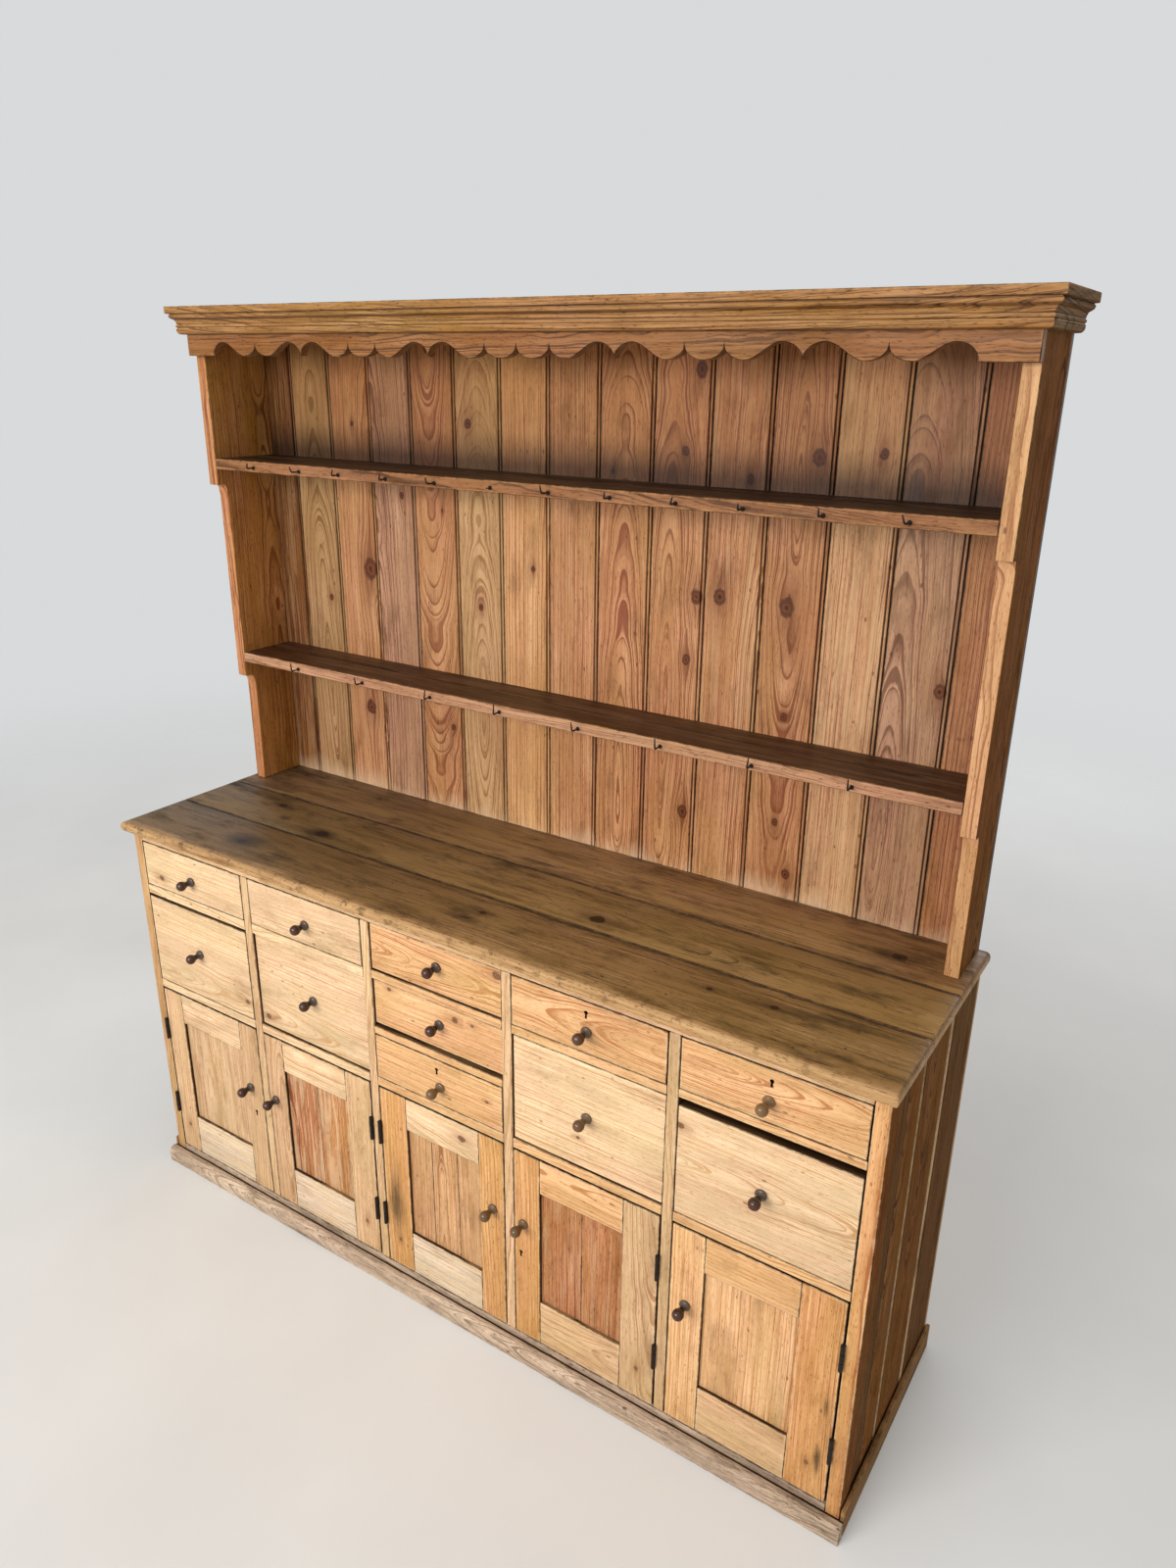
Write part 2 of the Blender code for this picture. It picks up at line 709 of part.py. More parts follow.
def drawer(bay, level, opening):
    """A drawer: its front, two lapped sides, a back and a bottom board, and its turned knob."""
    label = f"{bay}_{level}"
    low, high = opening
    left = bay_left(bay) + DRAWER_SIDE_GAP
    right = left + BAY_WIDTH - 2 * DRAWER_SIDE_GAP
    front_low = low + FOOT_GAPS.get(label, USUAL_FOOT_GAP)
    front_high = high - HEAD_GAPS.get(label, USUAL_HEAD_GAP)
    side_low = low + GAP
    side_high = front_high - SIDE_DROP
    face = FACE + SETBACKS.get(label, 0)
    back = face + DRAWER_DEPTH
    bottom = side_low + DRAWER_BOTTOM_RISE
    outer = (left + SIDE_INSET, right - SIDE_INSET)
    lap = face + FRONT - LAP

    front = box((left, face, front_low), (right, face + FRONT, front_high))
    housed = SIDE / 2
    between = (outer[0] + housed, outer[1] - housed)
    box_parts = [
        box((outer[0], lap, side_low), (outer[0] + SIDE, back, side_high)),
        box((outer[1] - SIDE, lap, side_low), (outer[1], back, side_high)),
        box((between[0], back - SIDE - 0.001, bottom), (between[1], back - 0.001, side_high - 0.004)),
        box((between[0], lap + 0.002, bottom), (between[1], back - 0.004, bottom + DRAWER_BOTTOM)),
    ]
    shape = joined(front, box_parts)
    height = ODD_KNOB_HEIGHTS.get(label, KNOB_HEIGHTS[level])
    knob_place = (bay_middle(bay) + KNOB_OFFSETS[bay], face, height)
    cutters = [knob_hole(knob_place)]
    if label in DRAWER_LOCKS:
        cutters.append(keyhole(bay_middle(bay), face, height + KEYHOLE_OVER_KNOB))
    shape = cut(shape, cutters)

    slide = axis_empty(f"slide_{label}", (bay_middle(bay), face, low))
    finish(shape, f"drawer_{label}", (bay_middle(bay), face, low), FRONT_PINE, parent=slide)
    knob(f"drawer_knob_{label}", knob_place, slide)


# Doors


def door(bay):
    """A framed door: stiles and rails round a thin panel in a groove, with its swinging leaves."""
    side, hinge_stile, lock_stile, knob_inset = DOORS[bay]
    pin_x = pin_place(bay)
    hinge_edge = pin_x + side * HINGE_GAP / 2
    lock_edge = hinge_edge + side * (BAY_WIDTH - HINGE_GAP - LOCK_GAP)
    low = BOTTOM_TOP + DOOR_FOOT_GAP
    high = DOOR_RAIL[0] - DOOR_HEAD_GAP
    ends = sorted((hinge_edge, lock_edge))
    frame = box((ends[0], FACE, low), (ends[1], FACE + DOOR_THICK, high))

    sight = sorted((hinge_edge + side * hinge_stile, lock_edge - side * lock_stile))
    sight_low = low + DOOR_BOTTOM_RAIL
    sight_high = high - DOOR_TOP_RAIL
    panel_front = FACE + PANEL_SETBACK
    panel_back = panel_front + PANEL
    hole = box((sight[0], FACE - 0.01, sight_low), (sight[1], FACE + DOOR_THICK + 0.01, sight_high))
    groove_low = (sight[0] - PANEL_TONGUE, panel_front - GAP, sight_low - PANEL_TONGUE)
    groove_high = (sight[1] + PANEL_TONGUE, panel_back + GAP, sight_high + PANEL_TONGUE)
    frame = cut(frame, [joined(hole, [box(groove_low, groove_high)])])

    leaves = []
    bores = []
    for height in HINGE_HEIGHTS:
        fixed, swinging, bore = hinge(pin_x, side, height)
        leaves += swinging
        bores.append(bore)
        for spare in fixed:
            bpy.data.objects.remove(spare)
    frame = joined(frame, leaves)

    knob_place = (lock_edge - side * knob_inset, FACE, DOOR_KNOB_HEIGHT)
    cutters = bores + [knob_hole(knob_place)]
    if bay in DOOR_LOCKS:
        inset, height = DOOR_LOCKS[bay]
        cutters.append(keyhole(lock_edge - side * inset, FACE, height))
    frame = cut(frame, cutters)

    swing = axis_empty(f"hinge_line_{bay}", (pin_x, PIN_Y, low))
    finish(frame, f"door_frame_{bay}", (pin_x, PIN_Y, low), FRONT_PINE, parent=swing)
    reach = PANEL_TONGUE - 2 * GAP
    panel_low = (sight[0] - reach, panel_front, sight_low - reach)
    panel_high = (sight[1] + reach, panel_back, sight_high + reach)
    finish(box(panel_low, panel_high), f"door_panel_{bay}", (pin_x, PIN_Y, low), PANEL_PINE, parent=swing)
    knob(f"door_knob_{bay}", knob_place, swing)


# Rack


def rack_end(side):
    """An upright of the rack, narrower below each shelf, with a ledge and a rounded shoulder."""
    back = BACK - BACK_BOARD - GAP
    front = RACK_FRONT
    outline = [(back, RACK_TOP_HEIGHT), (front, RACK_TOP_HEIGHT)]
    for shoulder in reversed(SHOULDER_HEIGHTS):
        outline += [(front, shoulder), (front + SHOULDER_LEDGE, shoulder)]
        front += SHOULDER_LEDGE
        for step in range(1, 5):
            angle = math.pi / 2 * step / 4
            across = front + SHOULDER_ROUND * math.sin(angle)
            outline.append((across, shoulder - SHOULDER_DROP * (1 - math.cos(angle))))
        front += SHOULDER_ROUND
    outline += [(front, WORKTOP_HEIGHT + GAP), (back, WORKTOP_HEIGHT + GAP)]
    outer = side * RACK_WIDTH / 2
    inner = outer - side * RACK_END
    board = extruded(outline, min(outer, inner), max(outer, inner), "X")
    name = "rack_end_left" if side < 0 else "rack_end_right"
    return finish(board, name, (outer, BACK, WORKTOP_HEIGHT), RACK_PINE)


def cup_hook(x, front, height):
    """A square-bent dresser hook, screwed into a shelf's front edge."""
    out = front - HOOK_REACH
    bend = HOOK_WIRE * 1.6
    return wire(
        [
            (x, front + HOOK_SINK, height),
            (x, out + bend, height),
            (x, out, height + bend),
            (x, out, height + HOOK_RISE),
        ],
        HOOK_WIRE,
    )


def rack_shelf(name, front):
    """A shelf with a plate groove along its top and cup hooks along its front edge."""
    top = SHELF_HEIGHTS[name]
    inside = RACK_WIDTH / 2 - RACK_END - GAP
    back = BACK - BACK_BOARD - GAP
    board = box((-inside, front, top - SHELF), (inside, back, top))
    middle = BACK - BACK_BOARD - PLATE_GROOVE_FROM_BACK
    groove_low = (-inside - 0.01, middle - PLATE_GROOVE / 2, top - PLATE_GROOVE_DEPTH)
    groove_high = (inside + 0.01, middle + PLATE_GROOVE / 2, top + 0.01)
    board = cut(board, [box(groove_low, groove_high)])
    count, pitch = HOOKS[name]
    places = [(number - (count - 1) / 2) * pitch for number in range(count)]
    hooks = [cup_hook(x, front, top - SHELF * 0.6) for x in places]
    return finish(joined(board, hooks), f"rack_shelf_{name}", (0, front, top), RACK_PINE)


def rack_top():
    inside = RACK_WIDTH / 2 - RACK_END - GAP
    low = (-inside, RACK_FRONT, RACK_TOP_HEIGHT - RACK_TOP_BOARD)
    high = (inside, BACK - BACK_BOARD - GAP, RACK_TOP_HEIGHT)
    return finish(box(low, high), "rack_top", (0, RACK_FRONT, RACK_TOP_HEIGHT), RACK_PINE)


def scallop_half():
    """The lower edge of the frieze from its middle to its right end, above its flat bottom.

    Letters name the turning points: C a cusp, L a lobe, A an arch and P a small point.
    """
    order = "CLCLAPALCLCLAPALCLA"
    steps = {"CL": HALF_LOBE, "LC": HALF_LOBE, "LA": LOBE_TO_ARCH, "AL": LOBE_TO_ARCH}
    steps.update({"AP": ARCH_TO_POINT, "PA": ARCH_TO_POINT})
    rises = {"C": CUSP_RISE, "L": 0, "A": ARCH_RISE, "P": 0}
    points = [(0.0, CUSP_RISE)]
    for first, second in zip(order[:-1], order[1:]):
        start = points[-1][0]
        width = steps[first + second]
        points += [
            (start + width * share, scallop_rise(first, second, share, rises))
            for share in SCALLOP_SHARES[first + second]
        ]
    end = points[-1][0]
    for share in FINE_LAST:
        points.append((end + FLAT_FROM_ARCH * share, ARCH_RISE * math.sqrt(1 - share**2)))
    return points


def scallop_rise(first, second, share, rises):
    """The height of the edge between two turning points.

    A lobe is round to its cusps, an arch is round to its points, and a lobe meets an arch in an
    easy double curve.
    """
    start = rises[first]
    end = rises[second]
    if {first, second} == {"C", "L"}:
        from_lobe = share if first == "L" else 1 - share
        return CUSP_RISE * (1 - math.sqrt(1 - from_lobe**2))
    if {first, second} == {"A", "P"}:
        from_arch = share if first == "A" else 1 - share
        return ARCH_RISE * math.sqrt(1 - from_arch**2)
    return start + (end - start) * (1 - math.cos(math.pi * share)) / 2


def frieze():
    """The board across the rack's front, with its scalloped lower edge, the same both ways."""
    right = [(x, FRIEZE_LOW + rise) for x, rise in scallop_half()]
    left = [(-x, z) for x, z in reversed(right[1:])]
    end = RACK_WIDTH / 2
    outline = [(-end, FRIEZE_TOP), (-end, FRIEZE_LOW), *left, *right, (end, FRIEZE_LOW), (end, FRIEZE_TOP)]
    back = RACK_FRONT - GAP
    board = extruded(outline, back - FRIEZE, back, "Y")
    return finish(board, "frieze", (0, back, FRIEZE_LOW), RACK_PINE)


def arc(centre, radii, start, end, steps):
    """Points on part of an ellipse, in degrees, ends included."""
    found = []
    for step in range(steps + 1):
        angle = math.radians(start + (end - start) * step / steps)
        found.append((centre[0] + radii[0] * math.cos(angle), centre[1] + radii[1] * math.sin(angle)))
    return found


def cornice_profile():
    """The moulding's outline as reach and height.

    From its foot: a large bead, a small bead, a fillet, a cove, an ovolo, a groove and a square top.
    """
    top = CORNICE_HEIGHT
    points = [(0, 0), (0.004, 0)]
    points += arc((0.006, 0.008), (0.0070, 0.0080), -70, 20, 3)
    points += [(0.0110, 0.0125)]
    points += arc((0.011, 0.0155), (0.0025, 0.0025), -60, 60, 2)
    points += [(0.0110, 0.0190), (0.0122, 0.0200), (0.0122, 0.0225)]
    points += arc((0.0185, 0.0225), (0.0055, 0.0060), 170, 100, 2)
    points += arc((0.0178, 0.0345), (0.0043, 0.0050), -60, 20, 2)
    points += [(0.0200, 0.0370), (0.0200, 0.0380), (CORNICE_REACH - 0.001, 0.0385)]
    return points + [(CORNICE_REACH, top), (0, top)]


def moulding(start_mitre, end_mitre, length):
    """The cornice's profile drawn out along +X, reaching towards -Y.

    A mitre of 1 cuts an end at 45 degrees, and 0 leaves it square.
    """
    form = bmesh.new()
    profile = cornice_profile()
    start = [form.verts.new((0, -reach, height)) for reach, height in profile]
    face = form.faces.new(start)
    drawn = bmesh.ops.extrude_face_region(form, geom=[face])
    end = [item for item in drawn["geom"] if isinstance(item, bmesh.types.BMVert)]
    bmesh.ops.translate(form, verts=end, vec=(length, 0, 0))
    for vert in start:
        vert.co.x += start_mitre * vert.co.y
    for vert in end:
        vert.co.x -= end_mitre * vert.co.y
    bmesh.ops.recalc_face_normals(form, faces=form.faces)
    mesh = bpy.data.meshes.new("moulding")
    form.to_mesh(mesh)
    form.free()
    return mesh_object("moulding", mesh)


def cornice():
    """A front length and two returns, mitred where they meet and square at the back."""
    low = DRESSER_HEIGHT - CORNICE_HEIGHT
    front = RACK_FRONT - GAP - FRIEZE - GAP
    side = RACK_WIDTH / 2 + GAP
    length = moulding(1, 1, 2 * side)
    length.data.transform(Matrix.Translation((-side, front, low)))
    finish(length, "cornice_front", (0, front, low), RACK_PINE)
    depth = BACK - front - 2 * GAP
    right = moulding(1, 0, depth)
    place = Matrix.Translation((side, front + 2 * GAP, low))
    right.data.transform(place @ Matrix.Rotation(math.pi / 2, 4, "Z"))
    finish(right, "cornice_right", (side, front, low), RACK_PINE)
    left = moulding(0, 1, depth)
    place = Matrix.Translation((-side, BACK, low))
    left.data.transform(place @ Matrix.Rotation(-math.pi / 2, 4, "Z"))
    finish(left, "cornice_left", (-side, front, low), RACK_PINE)


def build():
    for side in (-1, 1):
        end_board(side)
        rack_end(side)
    for number in range(1, BAYS):
        partition(number)
    carcass_rails()
    beaded_back("base_back", BASE_WIDTH, 0, WORKTOP_HEIGHT - WORKTOP - GAP)
    plinth()
    worktop()
    for bay in range(1, BAYS + 1):
        for level, opening in bay_openings(bay).items():
            drawer(bay, level, opening)
        door(bay)
    rack_shelf("lower", RACK_FRONT + SHOULDER_LEDGE + SHOULDER_ROUND)
    rack_shelf("upper", RACK_FRONT)
    rack_top()
    beaded_back("rack_back", RACK_WIDTH, WORKTOP_HEIGHT + GAP, RACK_TOP_HEIGHT)
    frieze()
    cornice()


build()
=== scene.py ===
"""Looks of the pine kitchen dresser: its boards, mouldings, turned knobs and ironwork.

Metres, +Z up. The front faces -Y and +X is to the right of someone facing it.
"""

import math
import random
from functools import partial

import bmesh
import bpy
from mathutils import Matrix, Vector


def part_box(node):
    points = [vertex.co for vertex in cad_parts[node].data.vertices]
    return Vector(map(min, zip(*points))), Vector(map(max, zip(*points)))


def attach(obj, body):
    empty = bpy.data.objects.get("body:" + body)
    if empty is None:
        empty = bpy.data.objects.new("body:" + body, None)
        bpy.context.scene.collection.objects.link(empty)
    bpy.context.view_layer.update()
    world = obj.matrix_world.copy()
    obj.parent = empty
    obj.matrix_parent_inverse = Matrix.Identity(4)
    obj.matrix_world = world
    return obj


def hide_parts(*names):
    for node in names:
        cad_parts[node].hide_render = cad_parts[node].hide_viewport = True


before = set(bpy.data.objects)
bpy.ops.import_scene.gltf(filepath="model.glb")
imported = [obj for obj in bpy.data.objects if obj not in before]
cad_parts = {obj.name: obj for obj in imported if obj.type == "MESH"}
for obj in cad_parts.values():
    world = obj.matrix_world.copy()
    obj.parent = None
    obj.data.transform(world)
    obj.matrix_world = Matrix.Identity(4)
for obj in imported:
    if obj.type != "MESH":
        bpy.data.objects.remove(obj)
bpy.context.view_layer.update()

# Sizes that the frame's nodes give
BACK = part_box("rack_back")[1].y
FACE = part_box("top_rail")[0].y
BASE_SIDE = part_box("end_board_right")[1].x
RACK_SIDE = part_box("rack_end_right")[1].x
WORKTOP_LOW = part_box("worktop_front")[0].z
WORKTOP_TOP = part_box("worktop_front")[1].z
RACK_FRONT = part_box("rack_end_right")[0].y
RACK_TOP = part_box("rack_end_right")[1].z
# Clearances between pieces
GAP = 0.0003
HAIR = 0.0001
FIT = 0.0002
# How near a face or edge is taken as lying at a place
NEAR = 0.001
# How far arrises are eased
EASE = 0.0012
FRONT_EASE = 0.0014
DOOR_RAIL_EASE = 0.0010
TOP_RAIL_EASE = 0.0015
RAIL_EASE = 0.0016
WORN_EASE = 0.0022
THIN_EASE = 0.0005

# Base carcass
STILE = 0.0255
DIVIDER = 0.0205
BAYS = 5
BAY = (2 * BASE_SIDE - 2 * STILE - (BAYS - 1) * DIVIDER) / BAYS
END_BOARD = 0.016
STILE_DEPTH = 0.045
BACK_BOARD = 0.012
BOTTOM_LOW = 0.030
BOTTOM_TOP = 0.050
BOTTOM_JOINT = 0.250
PARTITION_INSET = 0.001
RAIL = 0.020
BLADE_DEPTH = 0.050
RUNNER = 0.020
RUNNER_END = 0.030
END_JOINTS = (0.088, 0.160, 0.296)
# The boards of an end from the front: wood, the open joint before each, beads, and how far it has sunk
END_BOARDS = (
    ("walnut", 0.0, 0, 0.0020),
    ("umber", 0.0024, 0, 0.0020),
    ("umber", 0.0040, 1, 0.0010),
    ("walnut", 0.0040, 2, 0.0),
)
TOP_RAIL_LOW = 0.848
UPPER_RAILS = {
    1: (0.723, 0.745),
    2: (0.723, 0.745),
    3: (0.729, 0.747),
    4: (0.729, 0.747),
    5: (0.734, 0.750),
}
MIDDLE_RAIL = (0.607, 0.623)
DOOR_RAIL = (0.487, 0.507)
WORKTOP_ROUND = 0.009

# Plinth
PLINTH_FRONT = 0.021
PLINTH_SIDE = 0.009
PLINTH_FRONT_HEIGHT = 0.036
PLINTH_SIDE_HEIGHT = 0.055
PLINTH_CRACK = 0.0042
PLINTH_ROUND = 0.010
# How far the dark strip of dirt and painted shade behind the plinth sits below its top
DIRT_AND_SHADE_SUNK = 0.0012
RETURN_GAP = 0.0012

# Drawers
DRAWER_DEPTH = 0.420
FRONT = 0.020
LAP = 0.008
SIDE = 0.011
SIDE_INSET = 0.0006
SIDE_DROP = 0.006
BACK_DROP = 0.004
DRAWER_BOTTOM = 0.006
BOTTOM_RISE = 0.008
KNOB_TENON = 0.012
USUAL_FOOT_GAP = 0.0015
FOOT_GAPS = {"3_upper": 0.003, "3_middle": 0.007}
KEYHOLE_HEIGHTS = {"3_lower": 0.584, "4_upper": 0.826, "5_upper": 0.826}

# Doors: the side that each hangs on, 1 for the left, and the widths of its hinge and lock stiles
DOORS = {
    1: (1, 0.058, 0.056),
    2: (-1, 0.069, 0.054),
    3: (1, 0.067, 0.058),
    4: (-1, 0.071, 0.057),
    5: (-1, 0.075, 0.062),
}
DOOR_LOCKS = {1: (0.027, 0.262), 4: (0.014, 0.253)}
DOOR_LOW = 0.052
DOOR_HIGH = 0.483
DOOR_THICK = 0.020
DOOR_TOP_RAIL = 0.074
DOOR_BOTTOM_RAIL = 0.100
DOOR_JOINT = 0.0004
PANEL = 0.008
PANEL_SETBACK = 0.007
PANEL_TONGUE = 0.0074
HINGE_GAP = 0.003
LOCK_GAP = 0.002
HINGE_HEIGHTS = (0.175, 0.377)
HINGE_LENGTH = 0.054
LEAF = 0.0013
LEAF_SUNK = 0.0004
LEAF_DEPTH = 0.016
LEAF_EASE = 0.0003
WEB_DEPTH = 0.002
WEB_EASE = 0.0002
KNUCKLE = 0.0038
PIN_ROUND = 0.0005
PIN_SIDES = 14
PIN_Y = FACE - 0.0045

# Rack
RACK_END = 0.026
SHOULDER_HEIGHTS = (1.146, 1.571)
SHOULDER_LEDGE = 0.016
SHOULDER_ROUND = 0.008
SHOULDER_DROP = 0.034
SHELF = 0.022
SHELF_HEIGHTS = {"lower": 1.202, "upper": 1.626}
GROOVE_BACK = 0.060
GROOVE = 0.003
BACK_PITCH = 0.1125
BACK_JOINTS = 14
QUIRK = 0.0025
QUIRK_DEPTH = 0.0035
BEAD = 0.005
BEAD_DROP = 0.0008
BEAD_STEPS = 6
END_QUIRK = 0.0015
SLOT = 0.003
SLOT_DEPTH = 0.006
HOOK_WIRE = 0.0017
HOOK_REACH = 0.0205
HOOK_LEAN = 0.006
FRIEZE = 0.018
FRIEZE_LOW = 1.828
FRIEZE_TOP = 1.912
HALF_LOBE = 0.0335
LOBE_TO_ARCH = 0.0585
ARCH_TO_POINT = 0.033
ARCH_RISE = 0.025
CUSP_RISE = 0.020
FLAT_FROM_ARCH = 0.030
CORNICE_TOP = 1.920
CORNICE_HEIGHT = 0.052
CORNICE_REACH = 0.027

# The wood of each board: its pale spring growth and its dark summer growth. Some stand for painted light:
# the darkest for painted shade on shelf tops and in gaps, and a pale grey for a painted highlight
WOODS = {
    "cream": ("#FADDB6", "#CE9C6A"),
    "honey": ("#F5C894", "#BD8048"),
    "amber": ("#E6B378", "#A86B36"),
    "toffee": ("#D9A06C", "#96592F"),
    "russet": ("#C98D5E", "#82482A"),
    "straw": ("#D9AE7C", "#A2713F"),
    "sand": ("#E6C398", "#B4855A"),
    "tan": ("#C09868", "#8C6236"),
    "copper": ("#CC9656", "#845024"),
    # Partly dust and partly painted shade, for the cornice's right return
    "dusty": ("#947A5E", "#4E3C2C"),
    "ash": ("#CB9C7A", "#85593F"),
    "umber": ("#94602F", "#4E2A10"),
    "walnut": ("#7E5630", "#3E2612"),
    # A pale grey used as painted highlight on the upper faces of the cornice's right return
    "bleached": ("#C8B49E", "#7E6C5A"),
    "mopped": ("#D4BCA6", "#8C7662"),
    "limed": ("#F2DFC6", "#B4967A"),
    "tobacco": ("#AC845A", "#5E4430"),
    "olive": ("#B4905C", "#664A2C"),
    "gold": ("#AA7C45", "#5C3814"),
    "chestnut": ("#9E693B", "#563012"),
    "peach": ("#DFAF80", "#A26C44"),
    "shade": ("#9C6A44", "#583416"),
    # Nearly black woods as painted shade on the shelf tops, and a dark wood for gaps and recesses that is
    # partly dirt and partly painted shade
    "soot": ("#4C2E16", "#24140A"),
    "smoke": ("#2C1808", "#160B04"),
    "grime": ("#4A321E", "#24160C"),
    "bare": ("#CDA678", "#946B40"),
}

# Boards of the rack's back from the left: wood, how streaked, where the log's heart lay beside and under
# the board's middle and how much it rose along the board, and knots as place across, height and radius
BACK_BOARDS = [
    # The first board's dark umber is partly its own tone and partly painted shade at the left end of the rack
    ("umber", 0.2, (0.150, 0.02, 0.02), []),
    ("tan", 0.1, (0.006, 0.030, 0.085), [(-0.655, 1.325, 0.006)]),
    (
        "toffee", 0.2, (0.060, 0.030, 0.060),
        [(-0.552, 1.085, 0.013), (-0.530, 1.400, 0.018), (-0.560, 1.700, 0.004)],
    ),
    ("ash", 0.1, (-0.050, 0.020, 0.050), [(-0.430, 1.562, 0.006)]),
    ("toffee", 0.0, (-0.008, 0.075, -0.100), [(-0.310, 1.080, 0.006), (-0.322, 1.540, 0.003)]),
    ("straw", 0.3, (0.004, 0.040, 0.120), [(-0.227, 1.353, 0.006), (-0.250, 1.710, 0.008)]),
    ("amber", 0.2, (0.080, 0.030, 0.030), [(-0.095, 1.445, 0.005)]),
    ("toffee", 0.2, (0.110, 0.020, 0.020), []),
    ("toffee", 0.0, (0.004, 0.040, 0.090), [(0.085, 1.640, 0.004)]),
    (
        "toffee", 0.1, (-0.012, 0.020, 0.070),
        [(0.256, 1.015, 0.010), (0.250, 1.315, 0.008), (0.266, 1.432, 0.011), (0.232, 1.682, 0.007),
         (0.257, 1.815, 0.011)],
    ),
    ("toffee", 0.3, (0.070, 0.030, 0.050), [(0.312, 1.438, 0.012), (0.358, 1.642, 0.007)]),
    (
        "toffee", 0.0, (0.004, 0.025, -0.080),
        [(0.477, 0.940, 0.008), (0.448, 1.038, 0.006), (0.450, 1.240, 0.006), (0.440, 1.434, 0.013),
         (0.477, 1.683, 0.011)],
    ),
    ("peach", 0.5, (0.090, 0.030, 0.030), [(0.584, 1.694, 0.007)]),
    ("ash", 0.2, (-0.030, 0.040, 0.090), [(0.716, 1.330, 0.010)]),
    ("russet", 0.0, (0.100, 0.020, 0.020), []),
]


def linear(hexed):
    """A linear colour from an sRGB hex value."""
    found = []
    for start in (1, 3, 5):
        value = int(hexed[start : start + 2], 16) / 255
        found.append(value / 12.92 if value <= 0.04045 else ((value + 0.055) / 1.055) ** 2.4)
    return (*found, 1.0)


def node(tree, kind, *values, **settings):
    """Add a node, its kind with its operation, and give it its settings.

    Values and links fill the sockets in use in their order, or by name from a dictionary. A node
    stands for its first output in use.
    """
    kind, *operation = kind.split()
    made = tree.nodes.new("ShaderNode" + kind)
    if operation:
        made.operation = operation[0]
    for name, value in settings.items():
        setattr(made, name, value)
    if values and isinstance(values[0], dict):
        pairs = [(made.inputs[name], value) for name, value in values[0].items()]
    else:
        pairs = zip([socket for socket in made.inputs if socket.enabled], values)
    for socket, value in pairs:
        if isinstance(value, bpy.types.Node):
            value = next(output for output in value.outputs if output.enabled)
        if isinstance(value, bpy.types.NodeSocket):
            tree.links.new(value, socket)
        else:
            socket.default_value = linear(value) if isinstance(value, str) else value
    return made


def set_ramp(ramp, stops):
    """Give a colour ramp its stops, as place and colour."""
    while len(ramp.color_ramp.elements) < len(stops):
        ramp.color_ramp.elements.new(0.5)
    for element, (place, colour) in zip(ramp.color_ramp.elements, stops):
        element.position = place
        element.color = linear(colour)
    return ramp


def bare_material(name):
    """A material with no nodes yet, and the function that adds them."""
    made = bpy.data.materials.new(name)
    made.use_nodes = True
    made.node_tree.nodes.clear()
    return made, partial(node, made.node_tree)


def placed(name, data):
    """A new object in the scene."""
    made = bpy.data.objects.new(name, data)
    bpy.context.scene.collection.objects.link(made)
    return made


# Camera, floor and light

CAMERA_PLACE = (1.1763, -1.5198, 1.8171)
CAMERA_YAW = -32.929
CAMERA_PITCH = 20.755
CAMERA_ROLL = 0.695
# Focal length in pixels of a picture 1600 pixels high
CAMERA_FOCUS = 1124.6
PICTURE_HEIGHT = 1600
SENSOR_HEIGHT = 36.0


# Each lamp's place, aim, width, height, power in watts and colour
LAMPS = {
    "front_light": ((-0.9, -4.7, 2.5), (0.1, 0.0, 0.8), 3.4, 1.8, 186, "#FFF9F0"),
    "rear_light": ((-0.4, 4.6, 2.2), (0.0, 0.2, 0.9), 3.4, 1.8, 45, "#FFFFFF"),
    "top_light": ((0.2, -1.6, 4.0), (0.1, 0.0, 0.9), 3.0, 2.4, 16, "#FFFFFF"),
}
FLOOR_HALF = 9
# How far from the dresser the floor begins to fade, and is gone
FLOOR_FADE = (1.6, 5.5)


def set_camera():
    yaw, pitch, roll = (math.radians(turn) for turn in (CAMERA_YAW, CAMERA_PITCH, CAMERA_ROLL))
    forward = Vector((math.sin(yaw) * math.cos(pitch), math.cos(yaw) * math.cos(pitch), -math.sin(pitch)))
    level = Vector((math.cos(yaw), -math.sin(yaw), 0))
    above = level.cross(forward)
    right = math.cos(roll) * level + math.sin(roll) * above
    up = math.cos(roll) * above - math.sin(roll) * level
    lens = bpy.data.cameras.new("camera")
    lens.sensor_fit = "VERTICAL"
    lens.sensor_height = SENSOR_HEIGHT
    lens.lens = CAMERA_FOCUS / PICTURE_HEIGHT * SENSOR_HEIGHT
    camera = placed("camera", lens)
    turned = Matrix((right, up, -forward)).transposed()
    camera.matrix_world = Matrix.Translation(CAMERA_PLACE) @ turned.to_4x4()
    bpy.context.scene.camera = camera


def lamp(name, place, aim, width, height, power, colour):
    """A soft rectangular lamp facing a point."""
    light = bpy.data.lights.new(name, "AREA")
    light.shape = "RECTANGLE"
    light.size = width
    light.size_y = height
    light.energy = power
    light.color = linear(colour)[:3]
    lit = placed(name, light)
    lit.location = place
    lit.rotation_euler = (Vector(aim) - Vector(place)).to_track_quat("-Z", "Y").to_euler()


